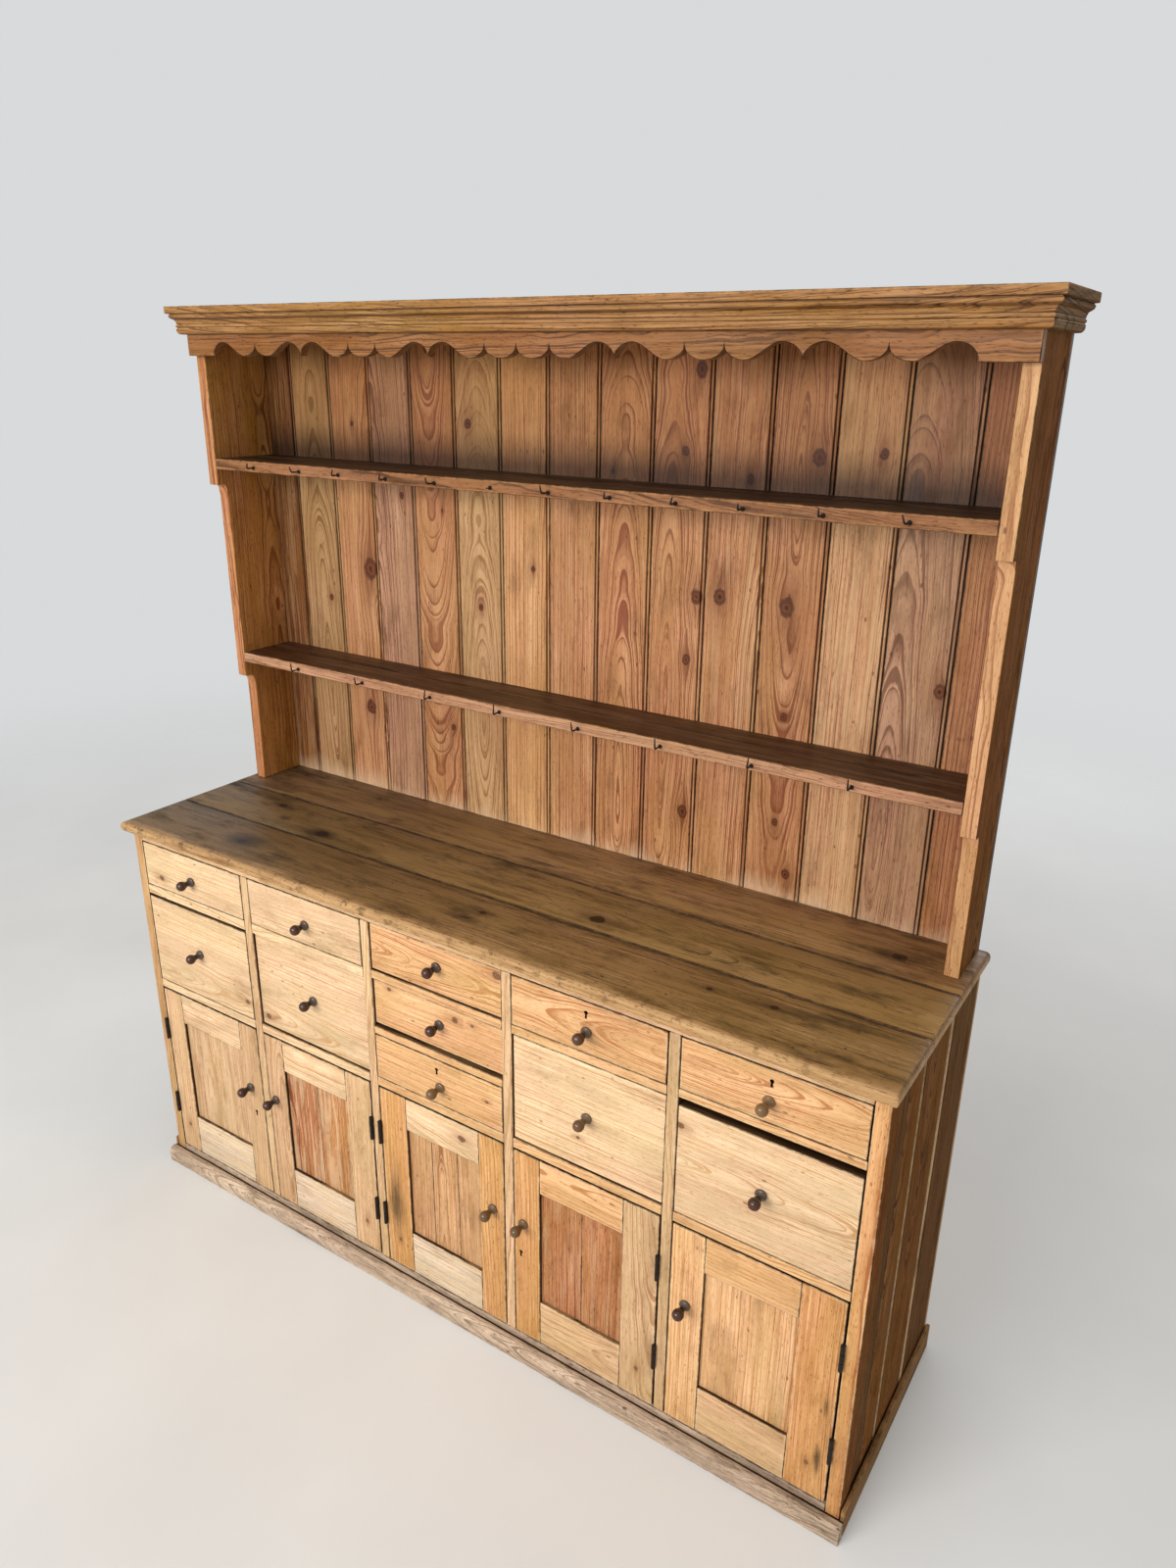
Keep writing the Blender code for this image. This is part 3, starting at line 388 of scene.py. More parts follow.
def set_stage():
    """A pale floor that fades into a pale backdrop, and soft light, most of it from the front."""
    form = bmesh.new()
    bmesh.ops.create_grid(form, x_segments=8, y_segments=8, size=FLOOR_HALF)
    mesh = bpy.data.meshes.new("floor")
    form.to_mesh(mesh)
    form.free()
    floor = placed("floor", mesh)
    paint, add = bare_material("floor_screed")
    where = add("TexCoord").outputs["Object"]
    cloud = add("TexNoise", where, 1.5, 6.0)
    shade = set_ramp(add("ValToRGB", cloud), [(0.3, "#D6D8DA"), (0.7, "#E1E3E5")])
    rays = add("LightPath")
    lift = add("Math MULTIPLY", rays.outputs["Is Camera Ray"], 0.10)
    screed = {"Base Color": shade, "Roughness": 0.85, "Emission Color": "#FFFFFF", "Emission Strength": lift}
    ground = add("BsdfPrincipled", screed)
    clear = add("BsdfTransparent")
    far = add("VectorMath LENGTH", where)
    far = add("MapRange", far, *FLOOR_FADE, interpolation_type="SMOOTHSTEP")
    faded = add("MixShader", far, ground, clear)
    add("OutputMaterial", faded)
    floor.data.materials.append(paint)

    world = bpy.data.worlds.new("studio")
    bpy.context.scene.world = world
    world.use_nodes = True
    world.node_tree.nodes.clear()
    add = partial(node, world.node_tree)
    rays = add("LightPath")
    seen = add("Math MAXIMUM", rays.outputs["Is Camera Ray"], rays.outputs["Is Glossy Ray"])
    fill = add("Background", "#FBF7F0", 0.46)
    backdrop = add("Background", "#D8DADB", 1.0)
    both = add("MixShader", seen, fill, backdrop)
    add("OutputWorld", both)

    for name, settings in LAMPS.items():
        lamp(name, *settings)
    bpy.context.scene.view_settings.view_transform = "Standard"


# Finishes


RING_PITCH = 0.0046
RINGS_UNEVEN = 3.2
GRAIN_SWAY = 0.014
HEART_SWAY = 0.040
# How far the grain parts round a knot, in radii of the knot
KNOT_REACH = 1.9
# How deep the dirt and painted shade lie in a quirk, from the first trace to full black
QUIRK_DIRT_AND_SHADE = (0.0012, 0.0032)
# The pale band behind the worktop's nose, and the depth of the nose itself, each with its soft edge
NOSE_BAND = (0.034, 0.050)
NOSE_DEPTH = (0.011, 0.014)
# How often the patterns of pine repeat in a metre along and across the grain, their detail and roughness
PATTERNS = {
    "waves": (2.6, 11.0, 3.0, 0.5),
    "fibres": (14.0, 420.0, 4.0, 0.62),
    "pores": (90.0, 620.0, 2.0, 0.5),
    "clouds": (7.0, 22.0, 8.0, 0.68),
}
SMALLEST_MARK = 0.0001
NO_MARK = (0.0, 0.0, -1.0)
STAIN_BROWN = "#33230F"
SEAM_BLACK = "#2E1B0E"
QUIRK_BLACK = "#1E120A"
RELIEF_DEPTH = 0.0006
WAX_INDEX = 1.48


def pine(
    name, figure, roughness=0.5, fibre=0.6, rim="#F6DDB4", rim_width=0.0035, rim_share=0.35,
    streaks="#E8C998", streak_size=(5.0, 85.0), soil="#5A3A1E", soil_share=0.35, speck_share=0.6,
    contrast=1.0, mottle=0.16, quirks=0.9, shine=0.3, relief=0.4, bands=None, nose=None,
    seam_width=0.0016, seam_held=0.15, richness=1.0, blot_run=0.22, pit_size=(34.0, 70.0), bleach=None,
    halo_tone="#7A4220",
    knot_tones=("#2A160D", "#5E3018", "#834A28", "#5A2E18", "#6A3A20", "#1C0F09"),
):
    """Old pine, planed by hand: growth rings, fibres, knots, worn arrises, dirt and dents, and painted
    shade along its joints, in its quirks and in the bands of the rack's back.

    The rings are those of the log that a board was sawn from, so that they show as arches where its
    heart lay under the board, and as lines where it lay beside. Real rings are 2 to 4 mm apart. They
    are drawn 4 to 5 mm apart, so that they show.
    """
    made, add = bare_material(name)
    span, half, knot, stain, sawn, own = (
        add("Attribute", attribute_name=note).outputs["Vector"]
        for note in ("span", "half", "knot", "stain", "sawn", "own")
    )
    pale, deep = (add("Attribute", attribute_name=note) for note in ("pale", "deep"))
    seed, worn, faced = add("SeparateXYZ", own).outputs
    along, across, through = add("SeparateXYZ", span).outputs
    _, half_across, half_through = add("SeparateXYZ", half).outputs
    shift = add("VectorMath SCALE", (37.1, 91.7, 53.3), seed)
    place = add("VectorMath ADD", span, shift)
    sown = {}
    for pattern, (run, pack, detail, rough) in {**PATTERNS, "torn": (*streak_size, 6.0, 0.72)}.items():
        stretched = add("VectorMath MULTIPLY", place, (run, pack, pack))
        sown[pattern] = add("TexNoise", stretched, 1.0, detail, rough)
    waves = sown["waves"]
    clouds = sown["clouds"]

    def from_mark(mark):
        """How far a point lies from a knot or stain along and across the grain, and the mark's radius."""
        mark_along, mark_across, radius = add("SeparateXYZ", mark).outputs
        away = [add("Math SUBTRACT", *pair) for pair in ((along, mark_along), (across, mark_across))]
        return *away, add("Math MAXIMUM", radius, SMALLEST_MARK)

    # Grain that parts round a knot
    up, aside, size = from_mark(knot)
    short = add("Math MULTIPLY", up, 0.42)
    away = add("VectorMath LENGTH", add("CombineXYZ", short, aside))
    near = add("Math DIVIDE", add("Math DIVIDE", away, size), KNOT_REACH)
    near = add("Math MULTIPLY", near, near)
    near = add("Math EXPONENT", add("Math MULTIPLY", near, -1.0))
    pushed = add("Math MULTIPLY", aside, near)
    bent = add("Math SUBTRACT", across, pushed)

    # Growth rings round the log's heart, which bends and rises along the board
    bent = add("Math MULTIPLY_ADD", waves, GRAIN_SWAY, bent)
    beside, under, climb = add("SeparateXYZ", sawn).outputs
    turn = add("Math MULTIPLY", seed, 31.0)
    line = add("CombineXYZ", along, turn, turn)
    line = add("VectorMath MULTIPLY", line, (3.4, 1.0, 1.0))
    wave = add("TexNoise", line, 1.0, 3.0, 0.55)
    heart = add("Math MULTIPLY_ADD", wave, HEART_SWAY, -HEART_SWAY / 2)
    heart = add("Math MULTIPLY_ADD", along, climb, heart)
    heart = add("Math ADD", add("Math ADD", heart, under), through)
    side = add("Math SUBTRACT", bent, beside)
    years = add("Math DIVIDE", add("VectorMath LENGTH", add("CombineXYZ", side, heart)), RING_PITCH)
    uneven = add("TexNoise", years, 0.55, 2.0, noise_dimensions="1D")
    years = add("Math MULTIPLY_ADD", uneven, RINGS_UNEVEN, years)
    growth = [
        (0.0, "#404040"), (0.12, "#000000"), (0.45, "#202020"), (0.74, "#A8A8A8"), (0.88, "#FFFFFF"),
        (0.97, "#F0F0F0"),
    ]
    summer = set_ramp(add("ValToRGB", add("Math FRACT", years)), growth)
    slow = waves.inputs["Vector"].links[0].from_node
    patches = add("TexNoise", slow, 1.9, 2.0)
    patches = add("MapRange", patches, 0.36, 0.62, figure * 0.3, figure)
    summer = add("Math MULTIPLY", summer, patches)

    # Fibres, drawn 1 to 2 mm wide, and dark pores in short dashes
    fibres = add("Math SUBTRACT", sown["fibres"], 0.5)
    depth = add("Math MULTIPLY_ADD", fibres, fibre * 1.5, summer)
    pores = add("MapRange", sown["pores"], 0.60, 0.72, 0.0, fibre * 0.9)
    depth = add("Math ADD", depth, pores)
    depth = add("Math MULTIPLY_ADD", depth, contrast, 0.12, use_clamp=True)
    wood = add("Mix", depth, pale, deep, data_type="RGBA")

    # Slow changes of tone, and the pale streaks of worn boards
    tone = add("TexNoise", slow, 1.9, 5.0, 0.62)
    hue = add("MapRange", waves, 0.3, 0.7, 0.492, 0.506)
    rich = add("MapRange", tone, 0.3, 0.7, 1.08 * richness, 0.94 * richness)
    tone = add("MapRange", tone, 0.34, 0.66, 1 - 1.2 * mottle, 1 + 0.8 * mottle)
    wood = add("HueSaturation", {"Hue": hue, "Saturation": rich, "Value": tone, "Color": wood})
    torn = add("MapRange", sown["torn"], 0.50, 0.54, 0.0, 0.85)
    torn = add("Math MULTIPLY", torn, worn)

    # Knots
    halo = add("Math MULTIPLY", near, 0.6)
    tall = add("Math MULTIPLY", up, 0.8)
    eye = add("VectorMath LENGTH", add("CombineXYZ", tall, aside))
    eye = add("Math DIVIDE", eye, size)
    ragged = add("TexNoise", place, 110.0, 2.0)
    ragged = add("Math MULTIPLY_ADD", ragged, 0.7, -0.35)
    eye = add("Math ADD", eye, ragged)
    knotted = add("MapRange", eye, 0.85, 1.15, 1.0, 0.0)
    rings = set_ramp(add("ValToRGB", eye), list(zip((0.0, 0.25, 0.50, 0.62, 0.80, 1.0), knot_tones)))

    # Dirt in patches, stains, dents and worm holes
    dirty = add("MapRange", clouds, 0.52, 0.74, 0.0, soil_share)
    blot_up, blot_aside, reach = from_mark(stain)
    blot_up = add("Math MULTIPLY", blot_up, blot_run)
    blot = add("VectorMath LENGTH", add("CombineXYZ", blot_up, blot_aside))
    blot = add("Math DIVIDE", blot, reach)
    blot = add("Math MULTIPLY_ADD", clouds, 2.4, blot)
    blot = add("Math MULTIPLY_ADD", fibres, 2.2, blot)
    blot = add("MapRange", blot, 1.3, 2.4, 0.8, 0.0)
    grit = add("VectorMath MULTIPLY", place, (*pit_size, pit_size[1]))
    grit = add("TexVoronoi", grit, 1.0)
    chosen = add("SeparateColor", grit.outputs["Color"])
    wide = add("MapRange", chosen, 0.74, 1.0, 0.0, 0.20)
    dent = add("Math SUBTRACT", wide, grit.outputs["Distance"])
    dent = add("MapRange", dent, 0.0, 0.05, 0.0, speck_share)

    # Arrises, where the distance to the nearest one is the middle of the distances to the faces
    level = add("VectorMath ABSOLUTE", span)
    level = add("VectorMath SUBTRACT", half, level)
    to_end, to_edge, to_face = add("SeparateXYZ", level).outputs
    lesser = add("Math MINIMUM", to_end, to_edge)
    greater = add("Math MAXIMUM", to_end, to_edge)
    greater = add("Math MINIMUM", greater, to_face)
    arris = add("Math MAXIMUM", lesser, greater)
    rubbed = add("TexNoise", place, 38.0, 5.0, 0.7)
    uneven_arris = add("Math SUBTRACT", rubbed, 0.5)
    uneven_arris = add("Math MULTIPLY_ADD", uneven_arris, rim_width * 5.0, arris)
    worn_rim = add("MapRange", uneven_arris, 0.0, rim_width, rim_share, 0.0)
    # A dark line along every arris, partly dirt in the joints and partly painted shade of the gaps between
    # boards
    seam = add("MapRange", arris, seam_width * 0.4, seam_width, 0.9, 0.0)
    held = add("MapRange", rubbed, 0.38, 0.56, seam_held, 1.0)
    seam = add("Math MULTIPLY", seam, held)
    layers = [
        (torn, streaks), (halo, halo_tone), (knotted, rings), (dirty, soil),
        (blot, STAIN_BROWN), (dent, soil), (worn_rim, rim), (seam, SEAM_BLACK),
    ]

    tinted = 1.0
    if nose:
        # A nose rubbed back to pale wood, and a pale band behind it with a ragged edge
        facing = add("SeparateXYZ", add("NewGeometry").outputs["Normal"]).outputs["Z"]
        inward = add("Math ADD", across, half_across)
        ragged_in = add("Math MULTIPLY_ADD", clouds, 0.055, inward)
        cleaned = add("MapRange", ragged_in, *NOSE_BAND, 0.85, 0.0)
        cleaned = add("Math MULTIPLY", cleaned, faced)
        fronted = add("MapRange", facing, 0.2, 0.95, 0.9, 0.0)
        at_end, at_front = (add("MapRange", deep_in, *NOSE_DEPTH, 1.0, 0.0) for deep_in in (to_end, inward))
        at_front = add("Math MULTIPLY", at_front, faced)
        at_nose = add("Math MAXIMUM", at_end, at_front)
        fronted = add("Math MULTIPLY", fronted, at_nose)
        cleaned = add("Math MAXIMUM", cleaned, fronted)
        bitten = add("MapRange", rubbed, 0.54, 0.62, 1.0, 0.25)
        cleaned = add("Math MULTIPLY", cleaned, bitten)
        layers.append((cleaned, add("Mix", depth, *nose, data_type="RGBA")))
        tinted = add("Math SUBTRACT", 1.0, cleaned)
    else:
        # Dirt and painted shade in the quirks and joints, below the face that the third value points out
        below = add("Math MULTIPLY", through, faced)
        below = add("Math SUBTRACT", half_through, below)
        below = add("MapRange", below, *QUIRK_DIRT_AND_SHADE, 0.0, quirks)
        below = add("Math MULTIPLY", below, add("Math ABSOLUTE", faced))
        layers.append((below, QUIRK_BLACK))
    if bands:
        low, high, stops = bands
        raised = add("Math ADD", along, (high - low) / 2)
        raised = add("Math MULTIPLY_ADD", clouds, 0.05, raised)
        raised = add("Math SUBTRACT", raised, 0.025)
    if bleach:
        foot = add("Math MULTIPLY_ADD", fibres, 0.04, raised)
        foot = add("Math MULTIPLY_ADD", waves, 0.16, foot)
        layers.append((add("MapRange", foot, 0.070, 0.110, 0.5, 0.0), bleach))
    for share, laid in layers:
        wood = add("Mix", share, wood, laid, data_type="RGBA")
    # Tints along the board. On the rack's back they are painted shade over the upper section, and partly
    # smoke and partly painted shade in the dark band above the upper shelf
    if bands:
        tint = add("ValToRGB", add("Math DIVIDE", raised, high - low))
        set_ramp(tint, [((height - low) / (high - low), colour) for height, colour in stops])
        wood = add("Mix", tinted, wood, tint, data_type="RGBA", blend_type="MULTIPLY")

    # Wax lies smoother on summer growth, and dents and fibres stand out in relief
    gloss = add("Math MULTIPLY_ADD", fibres, 0.22, roughness)
    gloss = add("Math MULTIPLY_ADD", summer, -0.08, gloss)
    gloss = add("Math MULTIPLY_ADD", dirty, 0.35, gloss)
    grain = add("Math MULTIPLY_ADD", summer, 0.45, fibres)
    grain = add("Math MULTIPLY_ADD", dent, -2.0, grain)
    grain = add("Math MULTIPLY_ADD", pores, -0.8, grain)
    relieved = add("Bump", {"Strength": relief, "Distance": RELIEF_DEPTH, "Height": grain})
    worked = {"Base Color": wood, "Roughness": gloss, "Normal": relieved, "Specular IOR Level": shine}
    add("OutputMaterial", add("BsdfPrincipled", {**worked, "IOR": WAX_INDEX}))
    return made


def turned_hardwood():
    """Stained and polished beech, turned. The ball is rubbed to a redder brown and the foot has gone grey."""
    made, add = bare_material("stained_beech")
    span, own = (add("Attribute", attribute_name=note).outputs["Vector"] for note in ("span", "own"))
    seed, faded, _ = add("SeparateXYZ", own).outputs
    run = add("MapRange", add("SeparateXYZ", span), -0.0235, 0.0125, 0.0, 1.0)
    place = add("VectorMath ADD", span, add("VectorMath SCALE", (31.0, 17.0, 53.0), seed))
    blotch = add("TexNoise", place, 150.0, 4.0)
    run = add("Math MULTIPLY_ADD", blotch, 0.35, run)
    run = add("Math SUBTRACT", run, 0.17)
    browns = [(0.0, "#4E2A1A"), (0.22, "#361A10"), (0.50, "#1E100A"), (0.66, "#2C201A"), (0.85, "#5C4E46")]
    stain = set_ramp(add("ValToRGB", run), browns)
    colour = add("Mix", faded, stain, "#96784C", data_type="RGBA")
    gloss = add("MapRange", blotch, 0.3, 0.7, 0.11, 0.26)
    dimple = add("Bump", {"Strength": 0.25, "Distance": 0.0004, "Height": blotch})
    polished = {"Base Color": colour, "Roughness": gloss, "Normal": dimple, "IOR": 1.5}
    add("OutputMaterial", add("BsdfPrincipled", polished))
    return made


def black_iron():
    """Forged iron, blackened with age: dull, with brown rust where it is rubbed."""
    made, add = bare_material("black_iron")
    rust = add("TexNoise", add("TexCoord").outputs["Object"], 220.0, 5.0, 0.65)
    browns = [(0.30, "#191513"), (0.55, "#2A2320"), (0.68, "#4A3022"), (0.80, "#5C3D28")]
    scale = set_ramp(add("ValToRGB", rust), browns)
    gloss = add("MapRange", rust, 0.3, 0.7, 0.42, 0.75)
    pits = add("Bump", {"Strength": 0.4, "Distance": 0.0004, "Height": rust})
    forged = {"Base Color": scale, "Roughness": gloss, "Normal": pits, "Metallic": 0.55}
    add("OutputMaterial", add("BsdfPrincipled", forged))
    return made


FINISHES = {
    # Stripped and waxed pine of the drawer fronts, doors and rails: pale, with rubbed arrises
    "front": pine(
        "stripped_pine", figure=0.75, fibre=0.75, roughness=0.58, soil="#7A4A20", soil_share=0.42,
        contrast=1.3, shine=0.25, halo_tone="#9C6636",
        knot_tones=("#4A3020", "#7A553A", "#94704E", "#785438", "#86644A", "#4E3524"),
    ),
    # Thin panels of the doors, redder and dry, with pale worn streaks
    "panel": pine(
        "panel_pine", figure=0.8, fibre=0.9, roughness=0.62, rim_share=0.08, streaks="#E6C8A4",
        soil="#6A3E20", soil_share=0.5, contrast=1.3, mottle=0.2, shine=0.2,
    ),
    # Waxed pine of the rack, never stripped: warmer, with strong arches
    "rack": pine(
        "waxed_pine", figure=0.85, fibre=0.8, rim="#C8955E", streaks="#D9A878", soil="#3E2210",
        contrast=1.3, shine=0.25,
    ),
    # Dark waxed pine of the outer sides, dull and dusty
    "side": pine(
        "sooty_pine", figure=0.9, fibre=1.0, roughness=0.85, rim="#B08858", rim_share=0.6,
        streaks="#8A683E", soil="#20140A", soil_share=0.6, contrast=1.3, shine=0.06,
    ),
    # Beads of the outer sides, rubbed to pale wood
    "bead": pine("rubbed_pine", figure=0.4, roughness=0.7, soil_share=0.7, shine=0.1, quirks=0.0),
    # The boards of the rack's back, bleached at their feet, with a dark band above the upper shelf that is
    # partly smoke and partly painted shade, and painted shade over their upper section under the frieze
    "back": pine(
        "waxed_back_pine", figure=1.25, fibre=0.75, rim="#C29466", rim_share=0.2, streaks="#E0BE92",
        soil="#4A2812", soil_share=0.5, contrast=1.35, shine=0.25, richness=0.94, bleach="#DCC2A2",
        bands=(
            WORKTOP_TOP,
            RACK_TOP,
            [
                (0.890, "#FFFFFF"), (0.935, "#F8F4F0"), (1.180, "#F4ECE8"), (1.240, "#F4F0EE"),
                (1.592, "#F2ECE4"), (1.606, "#62574E"), (1.642, "#6E625A"), (1.700, "#D6C8B6"),
                (1.880, "#DAC6A4"),
            ],
        ),
    ),
    # Worktop pine, dark with oil and use, its nose worn back to pale wood
    "top": pine(
        "oiled_pine", figure=0.75, fibre=1.0, roughness=0.48, rim="#A87C48", rim_width=0.004, rim_share=0.2,
        streaks="#A98553", streak_size=(4.0, 64.0), soil="#24180E", soil_share=0.9, speck_share=1.0,
        contrast=1.2, mottle=0.42, nose=("#D2A977", "#8A5D2C"), seam_width=0.0056, seam_held=0.6,
        blot_run=0.6, pit_size=(62.0, 128.0), halo_tone="#3A2412",
        knot_tones=("#1C100A", "#33200F", "#4A2E16", "#2E1C0E", "#3E2814", "#120A06"),
        bands=(-0.86, 0.86, [(-0.86, "#C4C4C8"), (-0.30, "#CCC8C4"), (0.15, "#F4F2F0"), (0.86, "#F6F0E4")]),
    ),
    # Plinth pine, bleached by mopping, rough and dry
    "plinth": pine(
        "bleached_pine", figure=0.5, fibre=1.1, roughness=0.8, rim="#D8C8B0", streaks="#DCCCB4",
        soil="#54443A", soil_share=0.9, speck_share=0.8, contrast=1.8, mottle=0.3, shine=0.1, relief=0.7,
    ),
    # Sawn pine that was never waxed, inside the base and behind
    "bare": pine(
        "sawn_pine", figure=0.6, fibre=0.8, roughness=0.8, rim_share=0.0, streaks="#BE976A", soil="#5E452C",
        shine=0.1, quirks=0.0,
    ),
    "knob": turned_hardwood(),
    "iron": black_iron(),
}


# Blanks, from which the pieces are made

NOSE_STEPS = 5
EASE_STEPS = 2
# The least turns, in radians, at which an edge is eased
SHARP_TURN = 1.0
SHARP_TURN_DRAWN = 0.7
ROD_TIP = 0.6
SMOOTH_BELOW = math.radians(38)
SQUARE_TO_AXIS = 0.9999
# The least share of a face's normal that lies along an axis where the face is said to look that way
FACING = 0.6


def bevelled(form, edges, width, steps):
    bmesh.ops.bevel(form, geom=edges, offset=width, segments=steps, profile=0.5, affect="EDGES")


def block(one, other, ease=EASE, rounded=None):
    """A board between two corners with eased arrises. rounded gives some of them a larger radius."""
    low, high = (Vector([pick(pair) for pair in zip(one, other)]) for pick in (min, max))
    size = high - low
    form = bmesh.new()
    place = Matrix.Translation((low + high) / 2) @ Matrix.Diagonal((*size, 1))
    bmesh.ops.create_cube(form, size=1, matrix=place)
    if rounded:
        radius, wanted = rounded
        edges = [edge for edge in form.edges if wanted(edge.verts[0].co, edge.verts[1].co)]
        bevelled(form, edges, radius, NOSE_STEPS)
    sharp = [edge for edge in form.edges if edge.calc_face_angle(0) > SHARP_TURN]
    bevelled(form, sharp, min(ease, 0.3 * min(size)), EASE_STEPS)
    return form


def drawn(outline, start, end, axis, ease=0.0):
    """A flat outline drawn out along an axis. It lies in XY for axis Z, in XZ for Y and in YZ for X."""
    lie = {"X": lambda a, b: (start, a, b), "Y": lambda a, b: (a, start, b), "Z": lambda a, b: (a, b, start)}
    form = bmesh.new()
    first = form.faces.new([form.verts.new(lie[axis](a, b)) for a, b in outline])
    made = bmesh.ops.extrude_face_region(form, geom=[first])
    moved = [item for item in made["geom"] if isinstance(item, bmesh.types.BMVert)]
    way = Vector([float(axis == name) for name in "XYZ"]) * (end - start)
    bmesh.ops.translate(form, verts=moved, vec=way)
    bmesh.ops.recalc_face_normals(form, faces=form.faces)
    if ease:
        sharp = [edge for edge in form.edges if edge.calc_face_angle(0) > SHARP_TURN_DRAWN]
        bevelled(form, sharp, ease, 1)
    return form


def skinned(form, rings, sides):
    """Faces from each ring to the next. A ring of one point closes an end."""
    for first, second in zip(rings[:-1], rings[1:]):
        for step in range(sides):
            after = (step + 1) % sides
            corners = []
            for ring, index in ((first, step), (first, after), (second, after), (second, step)):
                corner = ring[index] if len(ring) > 1 else ring[0]
                if corner not in corners:
                    corners.append(corner)
            form.faces.new(corners)
    return form


def spun(profile, place, sides=24):
    """A profile of radius and reach turned round a line towards -Y."""
    form = bmesh.new()
    x, y, z = place
    turns = [2 * math.pi * step / sides for step in range(sides)]
    rings = []
    for radius, reach in profile:
        around = [(x + radius * math.cos(turn), y - reach, z + radius * math.sin(turn)) for turn in turns]
        rings.append([form.verts.new(point) for point in (around if radius else around[:1])])
    skinned(form, rings, sides)
    bmesh.ops.recalc_face_normals(form, faces=form.faces)
    return form


def rod(points, radius, sides=10):
    """A round rod through points, with rounded ends."""
    form = bmesh.new()
    points = [Vector(point) for point in points]
    rings = []
    for index, point in enumerate(points):
        way = (points[min(index + 1, len(points) - 1)] - points[max(index - 1, 0)]).normalized()
        helper = Vector((1, 0, 0)) if abs(way.x) < 0.9 else Vector((0, 1, 0))
        one = way.cross(helper).normalized()
        two = way.cross(one)
        thin = ROD_TIP if index in (0, len(points) - 1) else 1.0
        turns = [2 * math.pi * step / sides for step in range(sides)]
        round_it = [one * math.cos(turn) + two * math.sin(turn) for turn in turns]
        rings.append([form.verts.new(point + radius * thin * spoke) for spoke in round_it])
    skinned(form, rings, sides)
    form.faces.new(rings[0][::-1])
    form.faces.new(rings[-1])
    bmesh.ops.recalc_face_normals(form, faces=form.faces)
    return form


def carved(form, cutter):
    """A blank with another cut from it."""
    pair = []
    for shape in (form, cutter):
        mesh = bpy.data.meshes.new("blank")
        shape.to_mesh(mesh)
        shape.free()
        pair.append(placed("blank", mesh))
    step = pair[0].modifiers.new("cut", "BOOLEAN")
    step.operation = "DIFFERENCE"
    step.solver = "EXACT"
    step.object = pair[1]
    bpy.context.view_layer.update()
    graph = bpy.context.evaluated_depsgraph_get()
    mesh = bpy.data.meshes.new_from_object(pair[0].evaluated_get(graph))
    result = bmesh.new()
    result.from_mesh(mesh)
    for made in pair:
        bpy.data.objects.remove(made)
    return result


def arc(centre, radii, start, end, steps):
    """Points on part of an ellipse, in degrees, ends included."""
    found = []
    for step in range(steps + 1):
        angle = math.radians(start + (end - start) * step / steps)
        found.append((centre[0] + radii[0] * math.cos(angle), centre[1] + radii[1] * math.sin(angle)))
    return found


# What chance gives a board: where the heart of its log lay beside and under it, how it rose, and the tone
HEART_BESIDE = (0.0, 0.14)
HEART_UNDER = (0.005, 0.06)
HEART_RISE = (-0.12, 0.12)
TONE_DRIFT = (0.93, 1.05)


